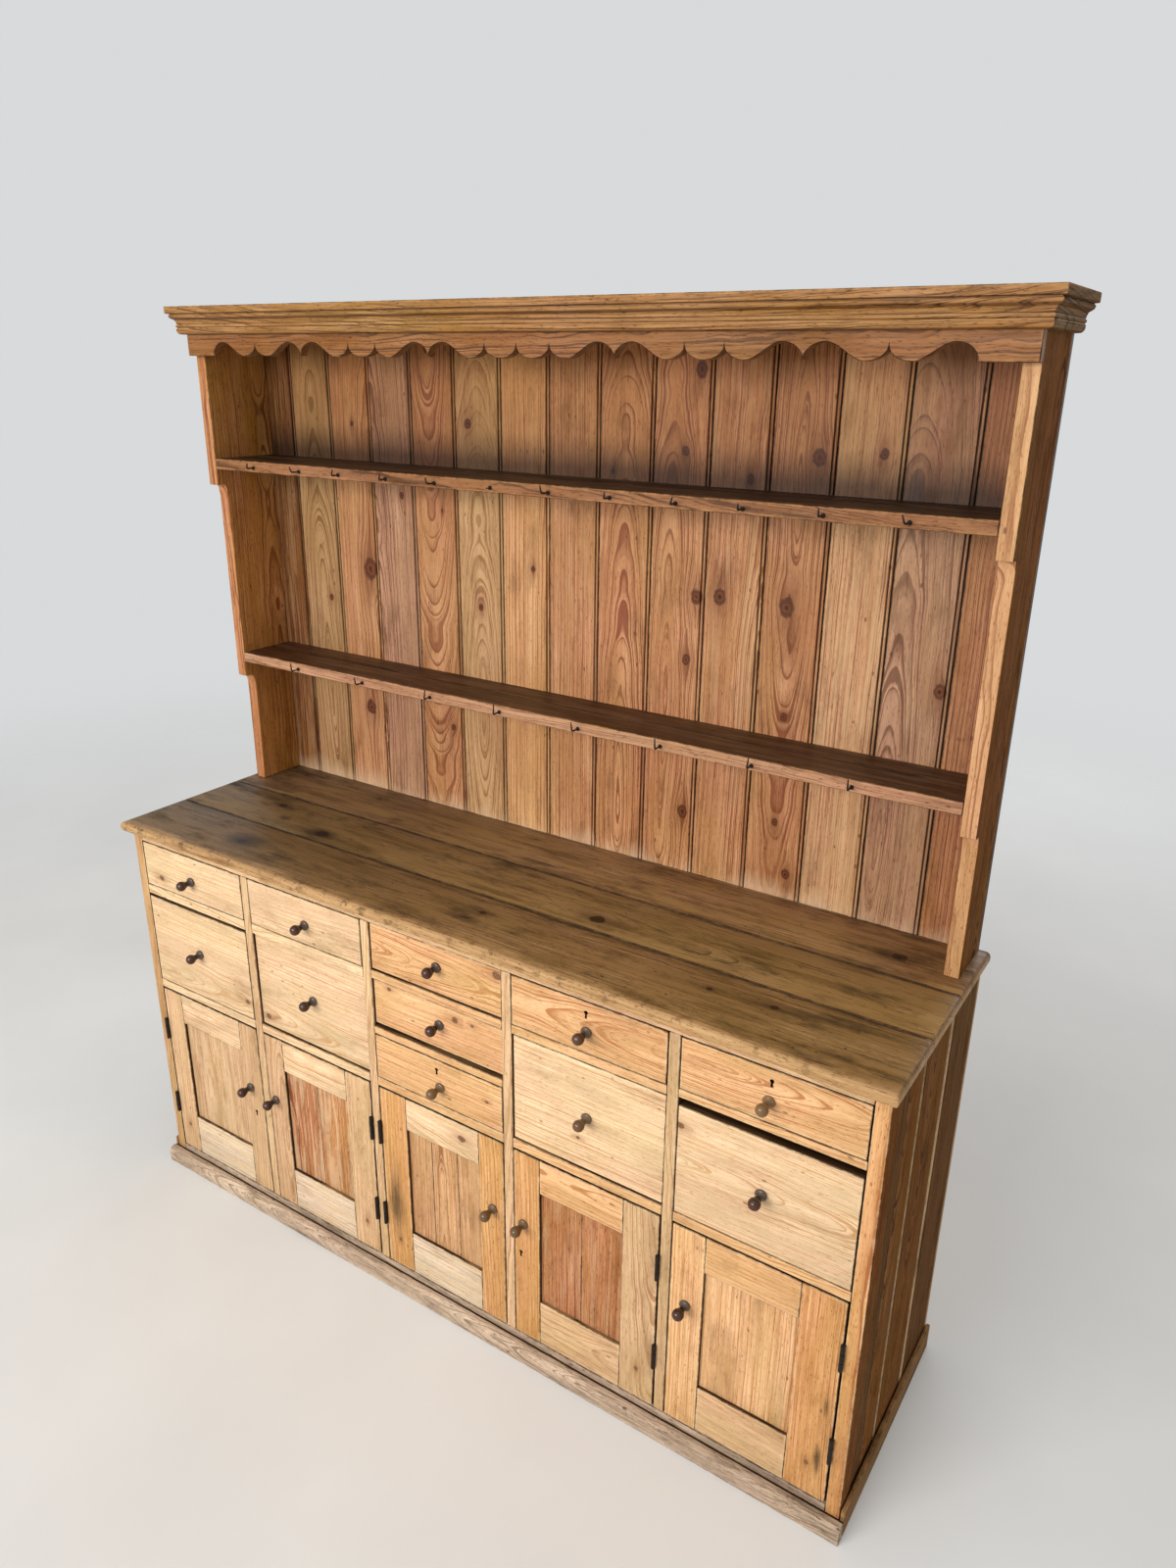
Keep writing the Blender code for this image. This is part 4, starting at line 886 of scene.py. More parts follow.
class Bench:
    """Gathers the boards and fittings of one piece until it is made up."""

    def __init__(self, name):
        self.name = name
        self.points, self.faces, self.smooth, self.finish, self.used = [], [], [], [], []
        self.by_point = {"span": [], "half": [], "own": [], "sawn": []}
        self.by_face = {"knot": [], "stain": [], "pale": [], "deep": []}
        self.chance = random.Random(name)

    def lay(
        self, form, grain, wood="honey", finish="front", knots=(), worn=0.0, sawn=None, stains=(), faced=0.0,
        faces=None,
    ):
        """Add a blank, with its grain along an axis.

        A knot or a stain is its place across, along and its radius. sawn says where the log's heart lay
        beside and under the board, and how it rose. faced is 1 or -1 where one face has dirt and painted
        shade in its joints. faces gives the wood and finish of a face by its normal and middle, where
        they differ.
        """
        spread = [[vert.co[axis] for vert in form.verts] for axis in range(3)]
        low, high = (Vector([pick(places) for places in spread]) for pick in (min, max))
        middle = (low + high) / 2
        half = (high - low) / 2
        g = "XYZ".index(grain)
        a, t = sorted((axis for axis in range(3) if axis != g), key=lambda axis: -half[axis])
        marks = {
            mark: sorted((along, across, radius) for across, along, radius in places)
            for mark, places in (("knot", knots), ("stain", stains))
        }
        normal = Vector([float(axis == g) for axis in range(3)])
        for places in marks.values():
            for first, second in zip(places[:-1], places[1:]):
                everything = form.verts[:] + form.edges[:] + form.faces[:]
                cut_at = normal * ((first[0] + second[0]) / 2)
                bmesh.ops.bisect_plane(form, geom=everything, plane_co=cut_at, plane_no=normal)
        seed = self.chance.random()
        if sawn is None:
            beside = self.chance.choice((-1, 1)) * self.chance.uniform(*HEART_BESIDE)
            sawn = (beside, self.chance.uniform(*HEART_UNDER), self.chance.uniform(*HEART_RISE))
        drift = self.chance.uniform(*TONE_DRIFT)
        start = len(self.points)
        form.verts.index_update()
        for vert in form.verts:
            self.points.append(vert.co.copy())
            place = vert.co - middle
            told = ((place[g], place[a], place[t]), (half[g], half[a], half[t]), (seed, worn, faced), sawn)
            for note, value in zip(self.by_point.values(), told):
                note.append(value)
        for face in form.faces:
            self.faces.append([start + vert.index for vert in face.verts])
            centre = face.calc_center_median()
            tone, kind = (faces(face.normal, centre) if faces else None) or (wood, finish)
            if kind not in self.used:
                self.used.append(kind)
            self.smooth.append(max(abs(part) for part in face.normal) < SQUARE_TO_AXIS)
            self.finish.append(self.used.index(kind))
            pale, deep = (linear(colour) for colour in WOODS[tone])
            self.by_face["pale"].append((*(channel * drift for channel in pale[:3]), 1.0))
            self.by_face["deep"].append(deep)
            for mark, places in marks.items():
                nearest = min(places, key=lambda found: abs(found[0] - centre[g])) if places else None
                told = (nearest[0] - middle[g], nearest[1] - middle[a], nearest[2]) if nearest else NO_MARK
                self.by_face[mark].append(told)
        form.free()

    def lay_bare(self, one, other, grain, ease=EASE):
        """Add a board of sawn pine between two corners."""
        self.lay(block(one, other, ease), grain, "bare", "bare")

    def make(self, body, slot, *nodes):
        """Make the piece up, let it ride on its body, and let it stand for its nodes."""
        mesh = bpy.data.meshes.new(self.name)
        mesh.from_pydata(self.points, [], self.faces)
        mesh.polygons.foreach_set("use_smooth", self.smooth)
        for finish in self.used:
            mesh.materials.append(FINISHES[finish])
        mesh.polygons.foreach_set("material_index", self.finish)
        for domain, notes in (("POINT", self.by_point), ("FACE", self.by_face)):
            for note, values in notes.items():
                kind = "COLOR" if note in ("pale", "deep") else "VECTOR"
                layer = mesh.attributes.new(note, "FLOAT_" + kind, domain)
                layer.data.foreach_set(kind.lower(), [part for value in values for part in value])
        mesh.set_sharp_from_angle(angle=SMOOTH_BELOW)
        mesh.update()
        piece = placed(self.name, mesh)
        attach(piece, body)
        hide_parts(*nodes)


def grimy_shaded_sides(normal, centre):
    """The sides of a front board, dark with old wax and dirt and with painted shade of the gaps and recesses
    they face, and its bare rear.
    """
    if abs(normal.y) < 0.35:
        return "grime", "bare"
    return ("bare", "bare") if normal.y > 0.35 else None


# Base


def bay_left(bay):
    return -BASE_SIDE + STILE + (bay - 1) * (BAY + DIVIDER)


def bay_levels(bay):
    """The drawers of a bay by name, with the low and high edges of the rail under each, from the top."""
    middle = {"middle": MIDDLE_RAIL} if bay == 3 else {}
    return {"upper": UPPER_RAILS[bay], **middle, "lower": DOOR_RAIL}


def lay_runners(bench, bay, against, towards):
    """The runners of a bay's drawers along one of its uprights."""
    for _, high in bay_levels(bay).values():
        start = (against, FACE + BLADE_DEPTH + GAP, high - RAIL)
        bench.lay_bare(start, (against + towards * RUNNER, BACK - BACK_BOARD - RUNNER_END, high), "Y")


def lay_blades(bench, bay):
    """The rails under the drawers of a bay."""
    for low, high in bay_levels(bay).values():
        end = (bay_left(bay) + BAY, FACE + BLADE_DEPTH, high)
        rail = block((bay_left(bay) + GAP, FACE, low), end, RAIL_EASE)
        bench.lay(rail, "X", "cream" if bay < 3 else "honey", "front", worn=0.3, faces=grimy_shaded_sides)


def pin_place(bay):
    if DOORS[bay][0] == 1:
        return bay_left(bay) + HINGE_GAP / 2
    return bay_left(bay) + BAY - HINGE_GAP / 2


def lay_leaf(bench, pin_x, way, height, knuckles):
    """One leaf of a butt hinge, with its knuckles as low and high ends from the hinge's middle."""
    half = HINGE_LENGTH / 2
    near = pin_x + way * (HINGE_GAP / 2 - LEAF)
    far = pin_x + way * (HINGE_GAP / 2 + LEAF_SUNK)
    leaf = block((near, FACE + GAP, height - half), (far, FACE + LEAF_DEPTH, height + half), LEAF_EASE)
    bench.lay(leaf, "Z", finish="iron")
    for low, high in knuckles:
        corner = (pin_x + way * (HINGE_GAP / 2 - GAP), FACE + WEB_DEPTH, height + high - GAP)
        bench.lay(block((near, PIN_Y, height + low + GAP), corner, WEB_EASE), "Z", finish="iron")
        low, high = height + low, height + high
        ends = [(pin_x, PIN_Y, z) for z in (low, low + PIN_ROUND, high - PIN_ROUND, high)]
        bench.lay(rod(ends, KNUCKLE, PIN_SIDES), "Z", finish="iron")


def lay_fixed_leaves(bench, bay):
    third = HINGE_LENGTH / 6
    for height in HINGE_HEIGHTS:
        lay_leaf(bench, pin_place(bay), -DOORS[bay][0], height, [(-third + GAP, third - GAP)])


def bead(across, deep):
    """The points of a bead that is worked on a board's face."""
    return arc((across + BEAD / 2, deep + BEAD / 2), (BEAD / 2, -BEAD / 2), 180, 0, BEAD_STEPS)


def bare_rear(normal, centre):
    return ("bare", "bare") if normal.y > FACING else None


def boarded_back(name, node_name, finish, woods):
    """Boards side by side that face -Y, each with a quirk, a bead and an open joint at its right edge."""
    low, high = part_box(node_name)
    joints = [(number - (BACK_JOINTS - 1) / 2) * BACK_PITCH for number in range(BACK_JOINTS)]
    edges = [low.x, *joints, high.x]
    rear = high.y - low.y
    bench = Bench(name)
    for number, (left, right) in enumerate(zip(edges[:-1], edges[1:])):
        first = left if number == 0 else left + SLOT / 2 + HAIR
        outline = [(first, 0)]
        if number == len(edges) - 2:
            outline += [(right, 0), (right, rear)]
        else:
            bead_end = right - SLOT / 2
            bead_start = bead_end - BEAD
            outline += [(bead_start - QUIRK, 0), (bead_start - QUIRK / 2, QUIRK_DEPTH)]
            outline += [(bead_start, QUIRK_DEPTH), *bead(bead_start, BEAD_DROP)]
            outline += [(bead_end, SLOT_DEPTH), (right + SLOT / 2, SLOT_DEPTH), (right + SLOT / 2, rear)]
        outline.append((first, rear))
        form = drawn([(across, low.y + deep) for across, deep in outline], low.z, high.z, "Z")
        wood, worn, sawn, knots = woods[number % len(woods)]
        bench.lay(form, "Z", wood, finish, knots, worn, sawn, faced=-1.0, faces=bare_rear)
    bench.make("carcass", "rack_pine" if finish == "back" else "base_pine", node_name)


def lay_end_boards(bench, side, high):
    """The boards of an end, shrunk and sunk a little. Two have beads along the front edge, rubbed pale."""
    edges = [FACE + STILE_DEPTH + FIT, *(FACE + joint for joint in END_JOINTS), BACK - BACK_BOARD - GAP]

    def end_faces(normal, centre):
        outward = side * normal.x
        if outward < -FACING:
            return "bare", "bare"
        if 0.2 < outward < 0.98:
            return "sand", "bead"
        # Edges facing front or back, at the open joints, are dark: partly dirt, partly painted shade
        return ("grime", "bare") if abs(normal.y) > 0.8 else None

    for number, (left, right) in enumerate(zip(edges[:-1], edges[1:])):
        wood, slot, beads, sunk = END_BOARDS[number]
        across = left + slot
        outline = [(across, END_BOARD)]
        for _ in range(beads):
            outline += bead(across, sunk)
            across += BEAD + END_QUIRK
            outline.append((across, sunk + BEAD / 2))
        outline += [(across, sunk), (right, sunk)]
        if number < len(END_BOARDS) - 1:
            tongue = right + END_BOARDS[number + 1][1] - HAIR
            outline += [(right, SLOT_DEPTH), (tongue, SLOT_DEPTH), (tongue, END_BOARD)]
        else:
            outline.append((right, END_BOARD))
        form = drawn([(side * (BASE_SIDE - deep), place) for place, deep in outline], 0, high, "Z")
        bench.lay(form, "Z", wood, "side", (), 0.3, faced=side, faces=end_faces)


def end_board(side):
    """A beaded end of the base, with the stile that shows beside the drawers."""
    name, wood = ("end_board_right", "amber") if side > 0 else ("end_board_left", "straw")
    bench = Bench(name + "_boards")
    outer = side * BASE_SIDE
    top = WORKTOP_LOW - GAP

    def stile_faces(normal, centre):
        if normal.x * side > FACING:
            return "umber", "side"
        # The inner side, facing the drawers, is dark: partly dirt, partly painted shade
        return ("grime", "bare") if normal.x * side < -FACING else None

    stile = block((outer, FACE, 0), (outer - side * STILE, FACE + STILE_DEPTH, top), WORN_EASE)
    bench.lay(stile, "Z", wood, "front", [(outer - side * 0.012, 0.35, 0.003)], faces=stile_faces)
    lay_end_boards(bench, side, top)
    bay = 1 if side < 0 else BAYS
    lay_runners(bench, bay, outer - side * END_BOARD, -side)
    if side > 0:
        lay_blades(bench, bay)
    lay_fixed_leaves(bench, bay)
    bench.make("carcass", "base_pine", name)


def partition(number):
    """An upright between two bays, with the rails of the bay on its left."""
    bench = Bench(f"partition_{number}_boards")
    left = bay_left(number) + BAY
    right = left + DIVIDER
    low = BOTTOM_TOP + GAP
    behind = FACE + BLADE_DEPTH + GAP
    front = block((left, FACE, low), (right, behind, TOP_RAIL_LOW - GAP), WORN_EASE)
    knots = [((left + right) / 2, 0.30 + 0.1 * number, 0.003)]
    bench.lay(front, "Z", "sand", "front", knots, worn=0.2, faces=grimy_shaded_sides)
    inner_left, inner_right = left + PARTITION_INSET, right - PARTITION_INSET
    rear = (inner_right, BACK - BACK_BOARD - GAP, WORKTOP_LOW - GAP)
    bench.lay_bare((inner_left, behind + HAIR, low), rear, "Z")
    lay_blades(bench, number)
    lay_runners(bench, number, inner_left, -1)
    lay_runners(bench, number + 1, inner_right, 1)
    for bay, way in ((number, -1), (number + 1, 1)):
        if DOORS[bay][0] == way:
            lay_fixed_leaves(bench, bay)
    bench.make("carcass", "base_pine", f"partition_{number}")


def carcass_rails():
    """The rail under the worktop, and the bottom board with the rail in front of it."""
    inside = BASE_SIDE - STILE - GAP
    bench = Bench("top_rail_board")
    high = (inside, FACE + BLADE_DEPTH, WORKTOP_LOW - GAP)
    rail = block((-inside, FACE, TOP_RAIL_LOW), high, TOP_RAIL_EASE)
    bench.lay(rail, "X", "sand", "front", faces=grimy_shaded_sides)
    bench.make("carcass", "base_pine", "top_rail")
    bench = Bench("bottom_boards")
    wide = BASE_SIDE - END_BOARD - GAP
    rail = block((-inside, FACE, BOTTOM_LOW), (inside, FACE + STILE_DEPTH, BOTTOM_TOP))
    bench.lay(rail, "X", "mopped", "plinth", worn=0.1)
    joint = FACE + BOTTOM_JOINT
    for start, end in ((FACE + STILE_DEPTH + GAP, joint), (joint, BACK - BACK_BOARD - GAP)):
        bench.lay_bare((-wide, start, BOTTOM_LOW), (wide, end - 2 * GAP, BOTTOM_TOP), "X")
    bench.make("carcass", "base_pine", "bottom_board")


def plinth():
    """A rounded board along the front with a dark strip packed behind it, partly old dirt and partly painted
    shade in the crack, and a higher board along each end.
    """
    bench = Bench("plinth_boards")
    side = BASE_SIDE + PLINTH_SIDE
    front = FACE - PLINTH_FRONT

    def on_top(a, b):
        return min(a.z, b.z) > PLINTH_FRONT_HEIGHT - NEAR and max(a.y, b.y) < front + NEAR

    high = (side, FACE - PLINTH_CRACK, PLINTH_FRONT_HEIGHT)
    board = block((-side, front, 0), high, rounded=(PLINTH_ROUND, on_top))
    bench.lay(board, "X", "mopped", "plinth", worn=0.3)
    # The dark strip in the crack behind the board: partly old dirt, partly painted shade
    dirt_and_shade_top = (side - NEAR, FACE - GAP, PLINTH_FRONT_HEIGHT - DIRT_AND_SHADE_SUNK)
    bench.lay(block((-side + NEAR, high[1], 0), dirt_and_shade_top, 0.0004), "X", "grime", "bare")
    for way in (-1, 1):
        inner = (way * (BASE_SIDE + RETURN_GAP), FACE - NEAR, 0)
        board = block(inner, (way * side, BACK, PLINTH_SIDE_HEIGHT), WORN_EASE)
        bench.lay(board, "Y", "tobacco", "side", worn=0.3)
    bench.make("carcass", "plinth_pine", "plinth")


# The boards of the worktop: wood, how the heart of its log lay, knots and stains
WORKTOP_BOARDS = {
    "front": (
        "olive", (0.090, 0.020, 0.010),
        [(-0.120, 0.62, 0.006), (-0.128, 0.51, 0.005), (-0.125, 0.05, 0.006), (-0.155, -0.56, 0.008)],
        [(-0.150, -0.550, 0.030)],
    ),
    "middle": (
        "olive", (-0.020, 0.060, 0.030),
        [(-0.030, 0.235, 0.012), (0.030, -0.640, 0.008), (-0.035, -0.450, 0.012)],
        [(-0.020, -0.580, 0.012), (-0.035, -0.450, 0.020), (0.065, -0.030, 0.020)],
    ),
    "rear": (
        "tobacco", (0.120, 0.020, -0.020),
        [(0.145, 0.730, 0.010), (0.180, -0.490, 0.006)],
        [(0.140, 0.700, 0.015)],
    ),
}


def worktop():
    """Three long boards with a rounded nose along the front and both ends."""
    for name, (wood, sawn, knots, stains) in WORKTOP_BOARDS.items():
        low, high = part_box(f"worktop_{name}")

        def on_nose(a, b):
            on_end = min(abs(a.x), abs(b.x)) > high.x - NEAR and a.x * b.x > 0
            on_front = name == "front" and max(a.y, b.y) < low.y + NEAR
            return abs(a.z - b.z) < NEAR and (on_end or on_front)

        bench = Bench(f"worktop_{name}_board")
        board = block(low, high, RAIL_EASE, (WORKTOP_ROUND, on_nose))
        bench.lay(board, "X", wood, "top", knots, 1.0, sawn, stains, float(name == "front"))
        bench.make("carcass", "worktop_pine", f"worktop_{name}")


# Radius and reach from the tip of the knob's ball to the end of its tenon
KNOB_PROFILE = [
    (0, 0.0360), (0.0036, 0.0355), (0.0066, 0.0341), (0.0090, 0.0316), (0.0102, 0.0286),
    (0.0105, 0.0258), (0.0100, 0.0228), (0.0086, 0.0196), (0.0069, 0.0166), (0.0058, 0.0138),
    (0.0055, 0.0112), (0.0060, 0.0088), (0.0078, 0.0068), (0.0084, 0.0062), (0.0085, 0.0054),
    (0.0098, 0.0047), (0.0105, 0.0034), (0.0103, 0.0016), (0.0096, GAP), (0.0045, GAP),
    (0.0045, -KNOB_TENON), (0, -KNOB_TENON),
]


def knob(node_name, body, faded):
    """A turned knob where the frame has one: a ball on a waisted neck and a stepped foot."""
    low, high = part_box(node_name)
    place = ((low.x + high.x) / 2, high.y - KNOB_TENON, (low.z + high.z) / 2)
    bench = Bench(node_name + "_turned")
    bench.lay(spun(KNOB_PROFILE, place), "Y", "umber", "knob", worn=faded)
    bench.make(body, "knob_wood", node_name)


def keyhole(x, z, face):
    """The blank that cuts a keyhole: an eye over a slot that widens downwards."""
    foot = [(x - 0.0022, z - 0.0110), (x + 0.0022, z - 0.0110)]
    eye = arc((x, z), (0.0038, 0.0038), -62, 242, 12)
    return drawn(foot + eye, face - 0.003, face + 0.012, "Y")


# The front of each drawer: wood, knots, how streaked, and how the heart of its log lay
DRAWER_WOODS = {
    "1_upper": ("cream", [(-0.765, 0.772, 0.006)], 0.2, None),
    "1_lower": ("cream", [(-0.524, 0.547, 0.005)], 0.2, (-0.06, 0.030, 0.10)),
    "2_upper": ("cream", [], 0.1, None),
    "2_lower": ("cream", [(-0.467, 0.530, 0.006)], 0.1, (-0.07, 0.040, 0.06)),
    "3_upper": ("honey", [(0.145, 0.832, 0.007)], 0.0, (0.005, 0.030, 0.10)),
    "3_middle": (
        "honey", [(-0.115, 0.715, 0.004), (0.045, 0.705, 0.006), (0.085, 0.707, 0.003)],
        0.0, (0.10, 0.05, 0.02),
    ),
    "3_lower": ("honey", [(0.118, 0.560, 0.003)], 0.0, None),
    "4_upper": ("honey", [], 0.0, (0.01, 0.045, -0.08)),
    "4_lower": ("cream", [(0.315, 0.567, 0.003)], 0.1, (0.13, 0.030, 0.02)),
    "5_upper": ("honey", [], 0.0, (0.025, 0.022, 0.12)),
    "5_lower": ("cream", [(0.514, 0.682, 0.005)], 0.1, (0.010, 0.030, 0.12)),
}
FADED_KNOBS = {"3_lower": 0.45, "4_upper": 0.12, "4_lower": 0.30, "5_upper": 0.55}


def drawer(bay, level, rail):
    """A drawer: a front board lapped over two sides, with a back and a bottom, and its knob."""
    label = f"{bay}_{level}"
    node_name = f"drawer_{label}"
    low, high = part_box(node_name)
    wood, knots, worn, sawn = DRAWER_WOODS[label]
    foot = rail[1] + FOOT_GAPS.get(label, USUAL_FOOT_GAP)
    face = low.y
    bench = Bench(node_name + "_boards")
    front = block((low.x, face, foot), (high.x, face + FRONT, high.z), FRONT_EASE)
    if label in KEYHOLE_HEIGHTS:
        front = carved(front, keyhole(bay_left(bay) + BAY / 2, KEYHOLE_HEIGHTS[label], face))
    knots = [(z, x, radius) for x, z, radius in knots]
    bench.lay(front, "X", wood, "front", knots, worn, sawn, faces=grimy_shaded_sides)
    side_high = high.z - SIDE_DROP
    rear = face + DRAWER_DEPTH
    for outer, way in ((low.x + SIDE_INSET, 1), (high.x - SIDE_INSET, -1)):
        end = (outer + way * SIDE, rear, side_high)
        bench.lay_bare((outer, face + FRONT - LAP + FIT, low.z), end, "Y")
    left = low.x + SIDE_INSET + SIDE + HAIR
    right = high.x - SIDE_INSET - SIDE - HAIR
    bottom = low.z + BOTTOM_RISE
    bench.lay_bare((left, rear - SIDE - NEAR, bottom), (right, rear - NEAR, side_high - BACK_DROP), "X")
    bottom_end = (right, rear - SIDE - 0.0012, bottom + DRAWER_BOTTOM)
    bench.lay_bare((left, face + FRONT, bottom), bottom_end, "X", THIN_EASE)
    bench.make(node_name, "base_pine", node_name)
    knob(f"drawer_knob_{label}", node_name, FADED_KNOBS.get(label, 0.0))


# The boards of each door: hinge stile, lock stile, top rail, bottom rail and the boards of its panel
DOOR_WOODS = {
    1: ("sand", "sand", "cream", "limed", ["sand"]),
    2: ("sand", "sand", "cream", "limed", ["russet", "toffee"]),
    3: ("amber", "amber", "cream", "limed", ["peach", "peach", "peach"]),
    4: ("sand", "amber", "honey", "sand", ["russet", "russet"]),
    5: ("amber", "honey", "honey", "sand", ["honey"]),
}
HINGE_STAINS = {3: [(-0.124, 0.225, 0.021)], 5: [(0.800, 0.260, 0.006), (0.795, 0.140, 0.007)]}
TOP_RAIL_KNOTS = {3: [(0.450, 0.055, 0.007)]}


def door(bay):
    """A framed door with a thin panel let in, its swinging leaves and its knob."""
    side, hinge_stile, lock_stile = DOORS[bay]
    hinge_wood, lock_wood, top_wood, foot_wood, panel_woods = DOOR_WOODS[bay]
    body = f"door_{bay}"
    pin_x = pin_place(bay)
    hinge_edge = pin_x + side * HINGE_GAP / 2
    lock_edge = hinge_edge + side * (BAY - HINGE_GAP - LOCK_GAP)
    back = FACE + DOOR_THICK
    inner_hinge = hinge_edge + side * hinge_stile
    inner_lock = lock_edge - side * lock_stile
    bench = Bench(f"door_frame_{bay}_boards")
    lay = partial(bench.lay, finish="front", faces=grimy_shaded_sides)
    stile = block((hinge_edge, FACE, DOOR_LOW), (inner_hinge, back, DOOR_HIGH), FRONT_EASE)
    knots = [((hinge_edge + inner_hinge) / 2, 0.12, 0.004)]
    lay(stile, "Z", hinge_wood, knots=knots, stains=HINGE_STAINS.get(bay, ()))
    stile = block((lock_edge, FACE, DOOR_LOW), (inner_lock, back, DOOR_HIGH), FRONT_EASE)
    if bay in DOOR_LOCKS:
        inset, height = DOOR_LOCKS[bay]
        stile = carved(stile, keyhole(lock_edge - side * inset, height, FACE))
    lay(stile, "Z", lock_wood)
    left, right = sorted((inner_hinge, inner_lock))
    left, right = left + DOOR_JOINT, right - DOOR_JOINT
    sill = DOOR_LOW + DOOR_BOTTOM_RAIL
    head = DOOR_HIGH - DOOR_TOP_RAIL
    top_rail = block((left, FACE + GAP, head), (right, back, DOOR_HIGH), DOOR_RAIL_EASE)
    lay(top_rail, "X", top_wood, knots=TOP_RAIL_KNOTS.get(bay, ()))
    foot_rail = block((left, FACE + GAP, DOOR_LOW), (right, back, sill), DOOR_RAIL_EASE)
    lay(foot_rail, "X", foot_wood, worn=0.5)
    third = HINGE_LENGTH / 6
    half = HINGE_LENGTH / 2
    for height in HINGE_HEIGHTS:
        lay_leaf(bench, pin_x, side, height, [(-half, -third - GAP), (third + GAP, half)])
    bench.make(body, "base_pine", f"door_frame_{bay}")

    bench = Bench(f"door_panel_{bay}_boards")
    left = left - PANEL_TONGUE + NEAR
    wide = (right + PANEL_TONGUE - NEAR - left) / len(panel_woods)
    front = FACE + PANEL_SETBACK
    for number, wood in enumerate(panel_woods):
        end = left + (number + 1) * wide - (GAP if number < len(panel_woods) - 1 else 0)
        low = (left + number * wide, front, sill - PANEL_TONGUE)
        board = block(low, (end, front + PANEL, head + PANEL_TONGUE), THIN_EASE)
        bench.lay(board, "Z", wood, "panel", worn=0.6 if bay in (1, 2) else 0.2)
    bench.make(body, "panel_pine", f"door_panel_{bay}")
    knob(f"door_knob_{bay}", body, 0.35 if bay in (3, 4) else 0.0)


# Rack


def rack_end(side):
    """An upright of the rack, narrower below each shelf, with a ledge and a rounded shoulder."""
    back = BACK - BACK_BOARD - GAP
    front = RACK_FRONT
    outline = [(back, RACK_TOP), (front, RACK_TOP)]
    for shoulder in reversed(SHOULDER_HEIGHTS):
        outline += [(front, shoulder), (front + SHOULDER_LEDGE, shoulder)]
        front += SHOULDER_LEDGE
        outline += arc((front, shoulder - SHOULDER_DROP), (SHOULDER_ROUND, SHOULDER_DROP), 90, 0, 8)[1:]
        front += SHOULDER_ROUND
    outline += [(front, WORKTOP_TOP + GAP), (back, WORKTOP_TOP + GAP)]
    name = "rack_end_right" if side > 0 else "rack_end_left"
    bench = Bench(name + "_board")

    def upright_faces(normal, centre):
        if normal.x * side > FACING:
            return "umber", "side"
        if abs(normal.x) > FACING:
            return ("copper" if side < 0 else "umber"), "rack"
        return ("peach" if side > 0 else "russet"), "rack"

    thickness = sorted((side * RACK_SIDE, side * (RACK_SIDE - RACK_END)))
    upright = drawn(outline, *thickness, "X", 0.0010)
    bench.lay(upright, "Z", "umber", "rack", sawn=(0.06, 0.03, 0.02), faces=upright_faces)
    bench.make("carcass", "rack_pine", name)


HOOK_PLACES = {
    "lower": (-0.634, -0.443, -0.257, -0.081, 0.102, 0.277, 0.454, 0.631),
    "upper": (-0.691, -0.558, -0.449, -0.325, -0.204, -0.074, 0.052, 0.177, 0.302, 0.421, 0.553, 0.684),
}
HOOK_RISES = {"lower": (0.015, 0.021), "upper": (0.010, 0.014)}
BROKEN_HOOK = ("upper", -0.074)
COLLAR_PROFILE = [(0, 0.0034), (0.0028, 0.0034), (0.0038, 0.0020), (0.0038, -0.001), (0, -0.001)]


def rack_shelf(name):
    """A shelf with its plate groove, and cup hooks screwed into its front edge."""
    low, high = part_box(f"rack_shelf_{name}")
    top = SHELF_HEIGHTS[name]
    front = RACK_FRONT + (SHOULDER_LEDGE + SHOULDER_ROUND if name == "lower" else 0)
    bench = Bench(f"rack_shelf_{name}_board")

    # The shelf tops are nearly black: painted shade from what lies above each, the upper shelf over the lower
    # and the frieze over the upper
    def shelf_faces(normal, centre):
        if normal.y < -FACING and centre.y < front + NEAR:
            return ("ash" if name == "lower" else "shade"), "rack"
        return ("smoke" if name == "upper" else "soot", "rack") if centre.z > top - 0.004 else None

    near, far = (high.y - GROOVE_BACK + way * GROOVE for way in (-1, 1))
    outline = [(front, top - SHELF), (high.y, top - SHELF), (high.y, top)]
    outline += [(far, top), (far, top - GROOVE), (near, top - GROOVE), (near, top), (front, top)]
    board = drawn(outline, low.x, high.x, "X", 0.0009)
    bench.lay(board, "X", "walnut", "rack", worn=0.1, faces=shelf_faces)
    chance = random.Random(name)
    for x in HOOK_PLACES[name]:
        z = top - SHELF * 0.6
        out = front - HOOK_REACH
        lean = chance.uniform(-HOOK_LEAN, HOOK_LEAN)
        rise = chance.uniform(*HOOK_RISES[name])
        wire = [
            (x, front + 0.004, z),
            (x, front - 0.012, z),
            (x + lean * 0.2, out + 0.003, z + 0.0004),
            (x + lean * 0.4, out + 0.0008, z + 0.0030),
            (x + lean, out + 0.0004, z + rise),
        ]
        bench.lay(rod(wire[:2] if (name, x) == BROKEN_HOOK else wire, HOOK_WIRE), "Y", finish="iron")
        bench.lay(spun(COLLAR_PROFILE, (x, front, z), 12), "Y", finish="iron")
    bench.make("carcass", "rack_pine", f"rack_shelf_{name}")


def rack_top():
    low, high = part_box("rack_top")
    bench = Bench("rack_top_boards")
    middle = (low.y + high.y) / 2
    for start, end in ((low.y, middle - GAP), (middle + GAP, high.y)):
        bench.lay_bare((low.x, start, low.z), (high.x, end, high.z), "X")
    bench.make("carcass", "rack_pine", "rack_top")


# The turning points of the frieze's edge from its middle: C a cusp, L a lobe, A an arch and P a small point
SCALLOP_ORDER = "CLCLAPALCLCLAPALCLA"
SCALLOP_WIDTHS = {"CL": HALF_LOBE, "AL": LOBE_TO_ARCH, "AP": ARCH_TO_POINT}
SCALLOP_STEPS = 9


